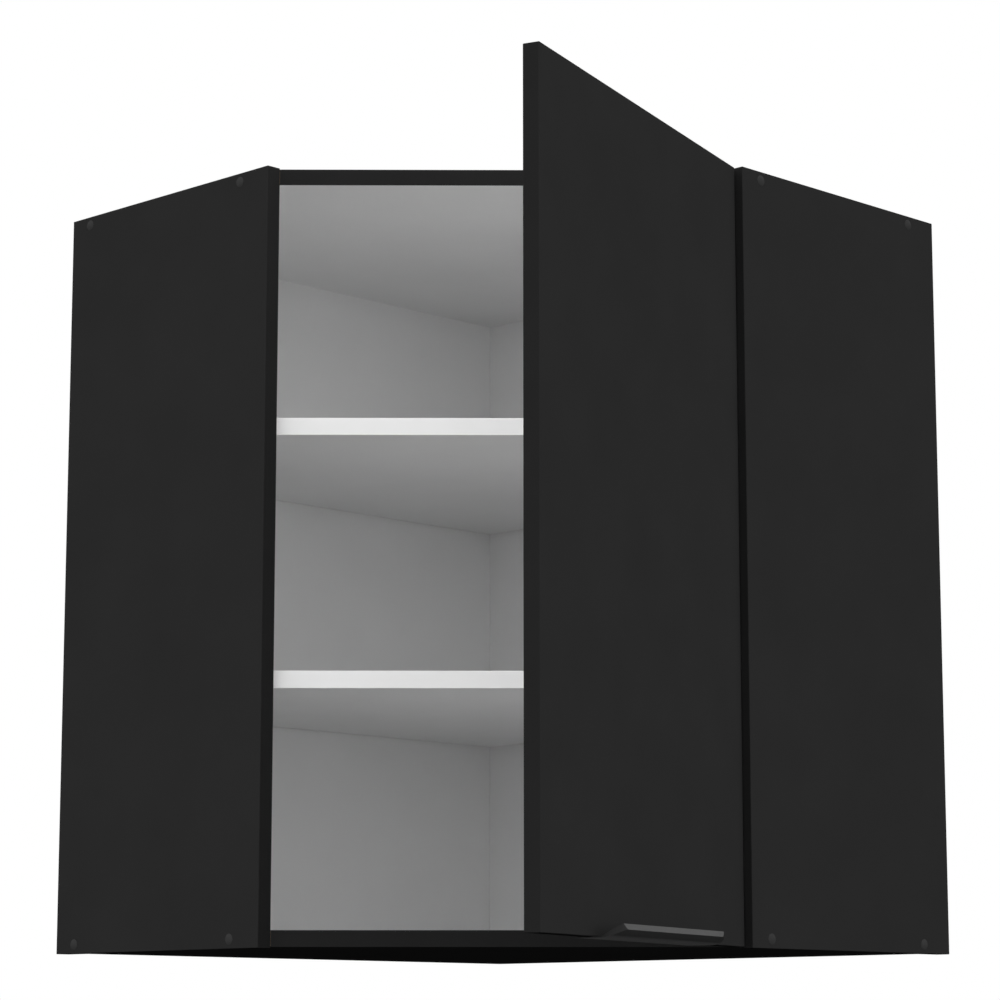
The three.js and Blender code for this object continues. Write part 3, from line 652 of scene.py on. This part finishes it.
def carcass_screw_tree():
    """The screw's head is at the place and faces out; its thread is a ridge along a spiral."""
    sizes = {"Length": 50 * MM, "Head Radius": 4.7 * MM, "Head Height": 4.5 * MM,
             "Neck Radius": 3.2 * MM, "Neck Length": 12 * MM, "Core Radius": 2.3 * MM,
             "Thread Height": 1.1 * MM, "Pitch": 3 * MM, "Socket Radius": 2.3 * MM,
             "Socket Depth": 2.6 * MM}
    tree, given, result = sized_tree("carcass_screw", sizes)
    body = turned_body(tree, given, [
        ({}, {"Length": -1}),
        ({"Core Radius": 0.45}, {"Length": -1}),
        ({"Core Radius": 1}, {"Length": -1, "Core Radius": 1}),
        ({"Core Radius": 1}, {"Neck Length": -1, "Core Radius": -0.5}),
        ({"Neck Radius": 1}, {"Neck Length": -1}),
        ({"Neck Radius": 1}, {"Head Height": -1}),
        ({"Head Radius": 1}, {"Head Height": -0.2}),
        ({"Head Radius": 1}, {"Head Height": -0.06}),
        ({"Head Radius": 0.94}, {}),
        ({}, {}),
    ], segments=24)
    socket = add(tree, "GeometryNodeMeshCylinder", Vertices=6)
    tree.links.new(given.outputs["Socket Radius"], socket.inputs["Radius"])
    depth = maths(tree, "MULTIPLY", given.outputs["Socket Depth"], 2.0)
    tree.links.new(depth, socket.inputs["Depth"])
    body = carve(tree, body, socket.outputs["Mesh"])

    ridge_end = total(tree, given, {"Neck Length": 1, "Core Radius": 1})
    ridge = maths(tree, "SUBTRACT", total(tree, given, {"Length": 1, "Core Radius": -1}), ridge_end)
    spiral = add(tree, "GeometryNodeCurveSpiral", Resolution=16)
    tree.links.new(maths(tree, "DIVIDE", ridge, given.outputs["Pitch"]), spiral.inputs["Rotations"])
    tree.links.new(given.outputs["Core Radius"], spiral.inputs["Start Radius"])
    tree.links.new(given.outputs["Core Radius"], spiral.inputs["End Radius"])
    tree.links.new(ridge, spiral.inputs["Height"])
    upright = add(tree, "GeometryNodeSetCurveNormal", mode="Z_UP")
    tree.links.new(spiral.outputs[0], upright.inputs["Curve"])
    section = add(tree, "GeometryNodeCurvePrimitiveCircle", Resolution=4)
    tree.links.new(given.outputs["Thread Height"], section.inputs["Radius"])
    thread = add(tree, "GeometryNodeCurveToMesh")
    thread.inputs["Fill Caps"].default_value = True
    tree.links.new(upright.outputs[0], thread.inputs["Curve"])
    tree.links.new(section.outputs[0], thread.inputs["Profile Curve"])
    start = total(tree, given, {"Length": -1, "Core Radius": 1})
    both = joined(tree, body, moved(tree, thread.outputs[0], (0.0, 0.0, start)))
    return stand_on_places(tree, given, result, both)


DOME_STEPS = 8


def cap_tree():
    """The place is on the panel's face, and the dome, a parabola, faces out."""
    sizes = {"Radius": 5 * MM, "Lift": 0.04 * MM, "Brim": 0.06 * MM, "Dome": 1 * MM,
             "Stem Radius": 1.6 * MM, "Stem Length": 2.6 * MM}
    tree, given, result = sized_tree("domed_cap", sizes)
    rings = [1 - step / DOME_STEPS for step in range(1, DOME_STEPS)]
    body = turned_body(tree, given, [
        ({}, {"Stem Length": -1}),
        ({"Stem Radius": 1}, {"Stem Length": -1}),
        ({"Stem Radius": 1}, {"Lift": 1}),
        ({"Radius": 1}, {"Lift": 1}),
        ({"Radius": 1}, {"Lift": 1, "Brim": 1}),
        *(({"Radius": out}, {"Lift": 1, "Brim": 1, "Dome": 1 - out ** 2}) for out in rings),
        ({}, {"Lift": 1, "Brim": 1, "Dome": 1}),
    ], segments=40)
    return stand_on_places(tree, given, result, body)


def nodes_named(start):
    """The CAD nodes whose names start so, in order."""
    return sorted(name for name in frame["nodes"] if name.startswith(start))


def end_of(node, way, back=0.0):
    """The middle of a node's end that lies furthest along an axis way, moved back by so much."""
    low, high = (Vector(corner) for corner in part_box(node))
    half = (high - low) / 2
    return (low + high) / 2 + way * (abs(half.dot(way)) - back)


def side_of(node):
    return SIDES["left" if "_left" in node else "right"]


def side_spots(names, inward, back=0.0):
    """Each node's end towards the cabinet's inside, or its outside where inward is -1, and the
    way that it faces."""
    ways = [side_of(name)["inward"] * inward for name in names]
    return [(end_of(name, way, back), way) for name, way in zip(names, ways)]


CAP_OUTSIDE = 1.1 * MM  # the CAD cap's top, from the panel's outer face

names = nodes_named("dowel_")
spots = side_spots(names, 1, DOWEL_LENGTH / 2)
place("dowels", grown(dowel_tree(), spots, BEECH), [], "carcass", "beech", *names)

names = nodes_named("screw_")
spots = side_spots(names, -1)
place("carcass_screws", grown(carcass_screw_tree(), spots, STEEL), [], "carcass", "steel", *names)

names = nodes_named("cap_")
spots = side_spots(names, -1, CAP_OUTSIDE)
place("screw_caps", grown(cap_tree(), spots, CAP_PLASTIC), [], "carcass", "cap_plastic", *names)


# ---- Shelves and their pins
# White 16 mm boards, edged in front and at the sides and raw behind, lie loose on five turned
# steel pins each: two in either side panel and one in the right back.
WHITE_EDGE = finish("white_edging", 0.755, 0.775, rough=(0.34, 0.42), pore=0.0008, relief=0.04)
SHELF_BOARD = [WHITE_FACE, WHITE_EDGE, CORE]
BROAD, BANDED, SAWN = range(3)  # the numbers of its materials
SHELF_ROUND = 0.5 * MM


def shelf_face(normal):
    if abs(normal.z) > ALONG:
        return BROAD
    return BANDED if normal.dot(TO_DOOR) > 0 else SAWN


for level in ("lower", "upper"):
    mesh = board(f"shelf_{level}", SHELF_ROUND, shelf_face, SAWN)
    place(f"shelf_{level}_board", mesh, SHELF_BOARD, f"{level}_shelf", "white_board",
          f"shelf_{level}")


PIN_OUT = 9 * MM
TIP_STEPS = 4


def pin_tree():
    """The place is on the board's face, and the pin stands out of it."""
    sizes = {"Radius": 2.5 * MM, "In Board": 8 * MM, "Out": PIN_OUT, "Lift": 0.2 * MM,
             "Collar Radius": 3.6 * MM, "Collar": 1 * MM, "Tip": 1 * MM}
    tree, given, result = sized_tree("shelf_pin", sizes)
    turns = [math.pi / 2 * step / TIP_STEPS for step in range(TIP_STEPS + 1)]
    tip = [(1 - math.cos(turn), math.sin(turn)) for turn in turns]
    body = turned_body(tree, given, [
        ({}, {"In Board": -1}),
        ({"Radius": 0.9}, {"In Board": -1}),
        ({"Radius": 1}, {"In Board": -0.95}),
        ({"Radius": 1}, {"Lift": 1}),
        ({"Collar Radius": 0.95}, {"Lift": 1}),
        ({"Collar Radius": 1}, {"Lift": 1, "Collar": 0.2}),
        ({"Collar Radius": 1}, {"Lift": 1, "Collar": 0.8}),
        ({"Collar Radius": 0.95}, {"Lift": 1, "Collar": 1}),
        ({"Radius": 1}, {"Lift": 1, "Collar": 1}),
        *(({"Radius": 1, "Tip": -back}, {"Out": 1, "Tip": up - 1}) for back, up in tip),
        ({}, {"Out": 1}),
    ], segments=32)
    return stand_on_places(tree, given, result, body)


names = nodes_named("pin_")
spots = []
for name in names:
    facing = Vector((0, -1, 0)) if name.endswith("_back") else side_of(name)["inward"]
    spots.append((end_of(name, facing, PIN_OUT), facing))
place("shelf_pins", grown(pin_tree(), spots, STEEL), [], "carcass", "steel", *names)


# ---- Hangers
# A white plastic housing on each side panel carries the cabinet. Its steel hook reaches through
# the back to a rail on the wall, and a screw in front sets the hook's height.
HOUSING = finish("moulded_white_plastic", (0.74, 0.74, 0.72), (0.78, 0.78, 0.76), rough=(0.4, 0.5),
                 pore=0.0005, relief=0.05, patch=0.02)


def eased(node, radius, segments=2):
    """A CAD node with all its sharp edges rounded."""
    bm = merged(frame["nodes"][node].data)
    sharp = [edge for edge in bm.edges
             if len(edge.link_faces) == 2 and edge.calc_face_angle(0) > SHARP]
    return rounded(bm, sharp, radius, segments)


def prism(tree, outline, depth):
    """A closed body between a flat outline and its copy moved up by the depth."""
    sheet = wired(tree, "GeometryNodeFillCurve", outline, mode="NGONS")
    raised = add(tree, "GeometryNodeExtrudeMesh", mode="FACES", Individual=False)
    raised.inputs["Offset"].default_value = (0, 0, 1)
    tree.links.new(sheet.outputs[0], raised.inputs["Mesh"])
    tree.links.new(depth, raised.inputs["Offset Scale"])
    under = wired(tree, "GeometryNodeFlipFaces", sheet.outputs[0])
    both = joined(tree, raised.outputs["Mesh"], under.outputs[0])
    return wired(tree, "GeometryNodeMergeByDistance", both, Distance=WELD).outputs[0]


def cross_screw_tree():
    """The head's seat is at the place, a cone below it and a dome above, with a crossed slot."""
    sizes = {"Head Radius": 3.4 * MM, "Cone": 1.6 * MM, "Dome": 0.6 * MM,
             "Shank Radius": 1.7 * MM, "Length": 12 * MM, "Slot Width": 0.55 * MM,
             "Slot Length": 1.9 * MM, "Slot Depth": 1.2 * MM}
    tree, given, result = sized_tree("cross_head_screw", sizes)
    body = turned_body(tree, given, [
        ({}, {"Length": -1}),
        ({"Shank Radius": 0.3}, {"Length": -1}),
        ({"Shank Radius": 1}, {"Length": -1, "Shank Radius": 1.2}),
        ({"Shank Radius": 1}, {"Cone": -1}),
        ({"Head Radius": 1}, {}),
        ({"Head Radius": 0.97}, {"Dome": 0.35}),
        ({"Head Radius": 0.85}, {"Dome": 0.7}),
        ({"Head Radius": 0.6}, {"Dome": 0.93}),
        ({}, {"Dome": 1}),
    ], segments=32)
    star = add(tree, "GeometryNodeCurveStar", Points=4)
    tree.links.new(given.outputs["Slot Width"], star.inputs["Inner Radius"])
    tree.links.new(given.outputs["Slot Length"], star.inputs["Outer Radius"])
    height = maths(tree, "MULTIPLY", given.outputs["Slot Depth"], 2.0)
    cross = prism(tree, star.outputs["Curve"], height)
    below = total(tree, given, {"Dome": 1, "Slot Depth": -1})
    body = carve(tree, body, moved(tree, cross, (0.0, 0.0, below)))
    return stand_on_places(tree, given, result, body)


CROSS_SCREW = cross_screw_tree()
ADJUSTER_HEAD = 2 * MM

for side, ways in SIDES.items():
    hanger = f"hanger_{side}"
    place(f"{hanger}_case", eased(f"{hanger}_housing", radius=1.2 * MM, segments=3), [HOUSING],
          "carcass", "white_plastic", f"{hanger}_housing")
    place(f"{hanger}_claw", eased(f"{hanger}_hook", radius=0.4 * MM), [STEEL], f"{side}_hook",
          "steel", f"{hanger}_hook")
    facing = -ways["to_wall"]
    spot = end_of(f"{hanger}_screw", facing, ADJUSTER_HEAD)
    mesh = grown(CROSS_SCREW, [(spot, facing)], STEEL, Head_Radius=4.5 * MM, Cone=0.0,
                 Dome=ADJUSTER_HEAD, Shank_Radius=3 * MM, Length=14.5 * MM,
                 Slot_Length=2.6 * MM, Slot_Width=0.8 * MM, Slot_Depth=1.6 * MM)
    place(f"{hanger}_adjuster", mesh, [], "carcass", "steel", f"{hanger}_screw")


# ---- Hinges
# Nickel plated corner hinges, pressed from sheet: a cup in the door, an arm on a mounting plate
# on the side panel, and a gooseneck link between them. Small crossed screws hold the cup, the
# plate and the arm.
swing = next(joint for joint in frame["joints"] if joint["name"] == "door_swing")
door_axis = Vector(swing["pos_m"])
DOOR_OPEN = math.radians(-swing["range_deg"][0])
INNER_FACE = 585 * MM  # the side panels' inner faces, from the walls
SIDE_DEPTH = 290 * MM
DOOR_SEAT = 1.3 * MM  # the closed door's gap in front of the panels
DOOR_THICKNESS = 15 * MM
DOOR_REAR = -(INNER_FACE + SIDE_DEPTH) / math.sqrt(2) - DOOR_SEAT
DOOR_FRONT = DOOR_REAR - DOOR_THICKNESS
DOOR_SIDE_GAP = 0.6 * MM
DOOR_EDGE = (INNER_FACE - SIDE_DEPTH) / math.sqrt(2) - DOOR_SIDE_GAP  # from the door's middle

# From the closed door's frame, x along it to the hinges and y back, to the open door's place.
on_door = (Matrix.Translation(door_axis) @ Matrix.Rotation(DOOR_OPEN, 4, "Z")
           @ Matrix.Translation(-door_axis) @ Matrix.Rotation(math.radians(45), 4, "Z"))
door_inward = on_door.to_3x3() @ Vector((0, 1, 0))

CUP_FROM_EDGE = 20.5 * MM  # the cup's middle, from the door's edge
CUP_SCREW_OFFSET = 9.5 * MM  # its screws, from that middle
CUP_SCREW_SPACING = 45 * MM
WING_FACE = 1.3 * MM  # from the door's inner face
PLATE_FROM_FRONT = 37 * MM  # the plate's middle, from the panel's front edge
PLATE_SCREW_SPACING = 32 * MM
PLATE_FACE = 2.8 * MM  # this and the next two, from the side panel
SPINE_FACE = 12.2 * MM
ARM_FACE = 14 * MM
ARM_SCREW_SPACING = 28 * MM

cup_spots, plate_spots, fixing_spots, adjusting_spots = [], [], [], []
inward = SIDES["right"]["inward"]
for level in ("lower", "upper"):
    hinge = f"hinge_{level}"
    place(f"{hinge}_cup_pressed", eased(f"{hinge}_cup", radius=0.15 * MM, segments=1), [STEEL],
          "door_leaf", "steel", f"{hinge}_cup")
    place(f"{hinge}_arm_channel", eased(f"{hinge}_arm", radius=0.3 * MM), [STEEL], "carcass",
          "steel", f"{hinge}_arm")
    place(f"{hinge}_plate_cross", eased(f"{hinge}_plate", radius=0.4 * MM), [STEEL], "carcass",
          "steel", f"{hinge}_plate")
    place(f"{hinge}_gooseneck", eased(f"{hinge}_link", radius=0.3 * MM), [STEEL],
          f"{level}_link", "steel", f"{hinge}_link")

    low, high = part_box(f"{hinge}_cup")
    middle = (low[2] + high[2]) / 2
    plate = Vector((INNER_FACE, PLATE_FROM_FRONT - SIDE_DEPTH, middle))
    for way in (-0.5, 0.5):
        spot = Vector((DOOR_EDGE - CUP_FROM_EDGE - CUP_SCREW_OFFSET, DOOR_REAR + WING_FACE,
                       middle + way * CUP_SCREW_SPACING))
        cup_spots.append((on_door @ spot, door_inward))
        aside = Vector((0, 0, way * PLATE_SCREW_SPACING))
        plate_spots.append((plate + inward * PLATE_FACE + aside, inward))
    behind = Vector((0, ARM_SCREW_SPACING / 2, 0))
    fixing_spots.append((plate + inward * ARM_FACE + behind, inward))
    adjusting_spots.append((plate + inward * SPINE_FACE - behind, inward))

place("cup_screws", grown(CROSS_SCREW, cup_spots, STEEL), [], "door_leaf", "steel")
place("plate_screws", grown(CROSS_SCREW, plate_spots, STEEL), [], "carcass", "steel")
mesh = grown(CROSS_SCREW, fixing_spots, STEEL, Head_Radius=4.2 * MM, Cone=0.0, Dome=2.2 * MM,
             Shank_Radius=2.4 * MM, Length=8 * MM, Slot_Length=2.5 * MM, Slot_Depth=1.6 * MM)
place("arm_fixing_screws", mesh, [], "carcass", "steel")
mesh = grown(CROSS_SCREW, adjusting_spots, STEEL, Head_Radius=2.9 * MM, Cone=0.0, Dome=1.5 * MM,
             Shank_Radius=2.4 * MM, Length=6 * MM, Slot_Length=2.1 * MM)
place("arm_adjusting_screws", mesh, [], "carcass", "steel")


# ---- Door
# A slab of the same board, black in front and white inside, edged in black all round. Two clear
# soft bumpers stick on its free corners.
RUBBER = finish("soft_clear_rubber", (0.62, 0.62, 0.60), (0.68, 0.68, 0.66), rough=(0.3, 0.4),
                pore=0.0005, relief=0.05, patch=0.01, dust=0.0)
# The door's inner white is the white melamine made darker: painted shade, which keeps that face,
# lit fully by the sky, from rendering white.
DOOR_INSIDE_SHADED = finish("white_door_melamine_painted_shade", 0.80, 0.82, rough=(0.45, 0.55), pore=0.0010,
                     relief=0.06)
DOOR_ROUND = 0.7 * MM


def door_face(normal):
    looks_in = normal.dot(door_inward)
    if abs(looks_in) < ALONG:
        return EDGED
    return INSIDE if looks_in > 0 else OUTSIDE


mesh = board("door", DOOR_ROUND, door_face, RAW)
place("door_slab", mesh, [BLACK_FACE, BLACK_EDGE, CORE, DOOR_INSIDE_SHADED], "door_leaf",
      "black_board", "door")
for level in ("lower", "upper"):
    place(f"bumper_{level}_pad", eased(f"bumper_{level}", radius=0.1 * MM, segments=1), [RUBBER],
          "door_leaf", "clear_rubber", f"bumper_{level}")


# ---- Handle
# A black coated metal profile whose plate lies under the door's lower edge, where two screws hold
# it from below. Its lip curves up in front of the door, with the two front corners rounded. Light
# is painted into the coat: paler the more a face looks down, and a painted highlight on the nose.
COATED = finish("black_coating", 0.0209, 0.0225, rough=(0.45, 0.58), pore=0.0005, relief=0.12,
                patch=0.03, dust=0.02, Specular_IOR_Level=0.0)
# The nose facet's paler colour is a painted highlight, standing in for the light that it catches
# from above.
NOSE_HIGHLIGHT = finish("nose_painted_highlight", 0.047, 0.052, rough=(0.40, 0.52), pore=0.0005, relief=0.10,
                   patch=0.03, dust=0.0, Specular_IOR_Level=0.1)
# Painted light on the handle's coat: the paler colour mixed in, and its share by how far down a
# face looks.
PAINTED_LIGHT_COLOUR = (0.165, 0.165, 0.165, 1)
PAINTED_LIGHT_SHARE = {0.55: 0.0, 0.72: 0.08, 0.93: 0.2, 1.0: 1.0}  # by how far down the surface faces
HANDLE_LOW = -0.1 * MM  # the heights of the plate's two faces
HANDLE_TOP = 0.7 * MM
LIP_REACH = 24.5 * MM  # the nose, out from the door's front
LIP_NOSE = 6.3 * MM  # its height
LIP_TIP_REACH = 23 * MM  # the lip's upper end, out from the door's front
LIP_TIP = 11 * MM  # its height
ON_NOSE = 0.995  # a face belongs to the nose where its normal's part that way is larger
HANDLE_ROUND = 0.25 * MM
HANDLE_SCREW_SPACING = 128 * MM


def paint_light_below(material):
    """Paints light into a coat: the more its surface faces down, the paler it is."""
    tree = material.node_tree
    coloured = tree.nodes["Principled BSDF"].inputs["Base Color"]
    down = add(tree, "ShaderNodeMath", (-500, 700), operation="MULTIPLY")
    down.inputs[1].default_value = -1.0
    tree.links.new(facing_up(tree, 700), down.inputs[0])
    lifted = add(tree, "ShaderNodeFloatCurve", (-300, 700))
    curve = lifted.mapping.curves[0]
    while len(curve.points) < len(PAINTED_LIGHT_SHARE):
        curve.points.new(0.5, 0.5)
    for knot, (facing, share) in zip(curve.points, PAINTED_LIGHT_SHARE.items()):
        knot.location = (facing, share)
        knot.handle_type = "VECTOR"
    lifted.mapping.update()
    tree.links.new(down.outputs[0], lifted.inputs["Value"])
    colour = mixed(tree, lifted.outputs[0], coloured.links[0].from_socket, PAINTED_LIGHT_COLOUR, (-100, 500))
    tree.links.new(colour, coloured)


ARC_STEPS = 28
PAST_NOSE = 1.0005  # the plan reaches a little further than the nose, which it leaves whole
UP_TO_Y = (-math.pi / 2, 0, 0)  # the turn that brings Z to Y


def pull_tree():
    """The profile stands on end, X out from the door's front and Y up. The underside of its lip
    is an arc that runs on from the plate's underside, up to the nose. What it shares with the
    plan, a plate with two rounded corners, is the handle."""
    sizes = {"Length": 228 * MM, "Low": HANDLE_LOW, "Top": HANDLE_TOP, "Depth": DOOR_THICKNESS,
             "Foot": 8 * MM, "Swell": 6.5 * MM, "Reach": LIP_REACH, "Nose": LIP_NOSE,
             "Tip Reach": LIP_TIP_REACH, "Tip": LIP_TIP, "Corner": 17 * MM, "Margin": 2 * MM,
             "Screw Spacing": HANDLE_SCREW_SPACING, "Screw Head": 3.4 * MM,
             "Screw Shank": 1.9 * MM}
    tree, given, result = sized_tree("edge_pull", sizes)
    run = total(tree, given, {"Reach": 1, "Swell": -1})
    rise = total(tree, given, {"Nose": 1, "Low": -1})
    squares = maths(tree, "MULTIPLY_ADD", run, run, maths(tree, "MULTIPLY", rise, rise))
    radius = maths(tree, "DIVIDE", squares, maths(tree, "MULTIPLY", rise, 2.0))
    sweep = maths(tree, "ARCSINE", maths(tree, "DIVIDE", run, radius))
    index = add(tree, "GeometryNodeInputIndex").outputs[0]
    turn = maths(tree, "MULTIPLY", sweep, maths(tree, "DIVIDE", index, float(ARC_STEPS)))
    out = maths(tree, "MULTIPLY_ADD", radius, maths(tree, "SINE", turn), given.outputs["Swell"])
    lift = maths(tree, "SUBTRACT", 1.0, maths(tree, "COSINE", turn))
    up = maths(tree, "MULTIPLY_ADD", radius, lift, given.outputs["Low"])
    corners = [({"Tip Reach": 1}, {"Tip": 1}), ({"Foot": 1}, {"Top": 1}),
               ({"Depth": -1}, {"Top": 1}), ({"Depth": -1}, {"Low": 1})]
    past = wired(tree, "FunctionNodeIntegerMath", index, ARC_STEPS + 1, operation="SUBTRACT")
    straight = [point(tree, total(tree, given, corner_out), total(tree, given, corner_up), 0.0)
                for corner_out, corner_up in corners]
    is_past = maths(tree, "GREATER_THAN", index, ARC_STEPS + 0.5)
    either = add(tree, "GeometryNodeSwitch", input_type="VECTOR")
    tree.links.new(is_past, either.inputs["Switch"])
    tree.links.new(point(tree, out, up, 0.0), either.inputs["False"])
    tree.links.new(picked(tree, past.outputs[0], straight), either.inputs["True"])
    line = add(tree, "GeometryNodeMeshLine", Count=ARC_STEPS + 1 + len(corners))
    bent = add(tree, "GeometryNodeSetPosition")
    tree.links.new(line.outputs[0], bent.inputs["Geometry"])
    tree.links.new(either.outputs[0], bent.inputs["Position"])
    curve = wired(tree, "GeometryNodeMeshToCurve", bent.outputs[0])
    section = add(tree, "GeometryNodeSetSplineCyclic", Cyclic=True)
    tree.links.new(curve.outputs[0], section.inputs[0])
    stock = prism(tree, section.outputs[0], total(tree, given, {"Length": 1, "Margin": 2}))
    stock = moved(tree, stock, (0.0, 0.0, total(tree, given, {"Length": -0.5, "Margin": -1})))

    outline = add(tree, "GeometryNodeCurvePrimitiveQuadrilateral")
    tree.links.new(total(tree, given, {"Reach": PAST_NOSE, "Depth": 1, "Margin": 1}),
                   outline.inputs["Width"])
    tree.links.new(given.outputs["Length"], outline.inputs["Height"])
    position = add(tree, "GeometryNodeInputPosition").outputs[0]
    spot = wired(tree, "ShaderNodeSeparateXYZ", position)
    in_front = maths(tree, "GREATER_THAN", spot.outputs["X"], 0.0)
    fillet = add(tree, "GeometryNodeFilletCurve", mode="POLY", Count=12)
    tree.links.new(outline.outputs[0], fillet.inputs["Curve"])
    tree.links.new(maths(tree, "MULTIPLY", in_front, given.outputs["Corner"]),
                   fillet.inputs["Radius"])
    plan = prism(tree, fillet.outputs[0],
                 total(tree, given, {"Tip": 1, "Low": -1, "Margin": 2}))
    shift = (total(tree, given, {"Reach": PAST_NOSE / 2, "Depth": -0.5, "Margin": -0.5}),
             total(tree, given, {"Low": 1, "Margin": -1}), 0.0)
    plan = moved(tree, plan, shift, UP_TO_Y)
    shared = add(tree, "GeometryNodeMeshBoolean", operation="INTERSECT", solver="MANIFOLD")
    tree.links.new(stock, shared.inputs["Mesh 2"])
    tree.links.new(plan, shared.inputs["Mesh 2"])
    body = shared.outputs["Mesh"]

    drill = turned_body(tree, given, [
        ({}, {"Low": 1, "Margin": -1}),
        ({"Screw Head": 1}, {"Low": 1, "Margin": -1}),
        ({"Screw Head": 1}, {"Low": 1}),
        ({"Screw Shank": 1}, {"Top": 1}),
        ({"Screw Shank": 1}, {"Top": 1, "Margin": 1}),
        ({}, {"Top": 1, "Margin": 1}),
    ], segments=32)
    for way in (-0.5, 0.5):
        shift = (total(tree, given, {"Depth": -0.5}), 0.0,
                 total(tree, given, {"Screw Spacing": way}))
        body = carve(tree, body, moved(tree, drill, shift, UP_TO_Y))
    return stand_on_places(tree, given, result, body)


# Painted light on the coat's downward faces, the handle's screws included.
paint_light_below(COATED)
stock = grown(pull_tree(), [((0, 0, 0), (0, 0, 1))], COATED)
from_section = on_door @ Matrix(((0, 0, -1, 0), (-1, 0, 0, DOOR_FRONT), (0, 1, 0, 0),
                                 (0, 0, 0, 1)))
stock.transform(from_section)
stock.materials.clear()
bm = merged(stock)
across_nose = Vector((LIP_TIP - LIP_NOSE, LIP_REACH - LIP_TIP_REACH, 0)).normalized()
nose_way = from_section.to_3x3() @ across_nose
# The faces of the nose facet take the second material, the painted highlight.
for face in bm.faces:
    face.material_index = int(face.normal.dot(nose_way) > ON_NOSE)  # there, the second one
sharp = [edge for edge in bm.edges if edge.calc_face_angle(0) > SHARP]
mesh = rounded(bm, sharp, HANDLE_ROUND)
place("handle_profile", mesh, [COATED, NOSE_HIGHLIGHT], "door_leaf", "black_metal", "handle")

screw_spots = []
for way in (-0.5, 0.5):
    spot = Vector((way * HANDLE_SCREW_SPACING, DOOR_FRONT + DOOR_THICKNESS / 2, HANDLE_LOW))
    screw_spots.append((on_door @ spot, Vector((0, 0, -1))))
mesh = grown(CROSS_SCREW, screw_spots, COATED, Head_Radius=3.1 * MM, Dome=0.0,
             Cone=HANDLE_TOP - HANDLE_LOW, Shank_Radius=1.6 * MM, Length=19 * MM,
             Slot_Depth=0.8 * MM)
place("handle_screws", mesh, [], "door_leaf", "steel", "handle_screw_left", "handle_screw_right")
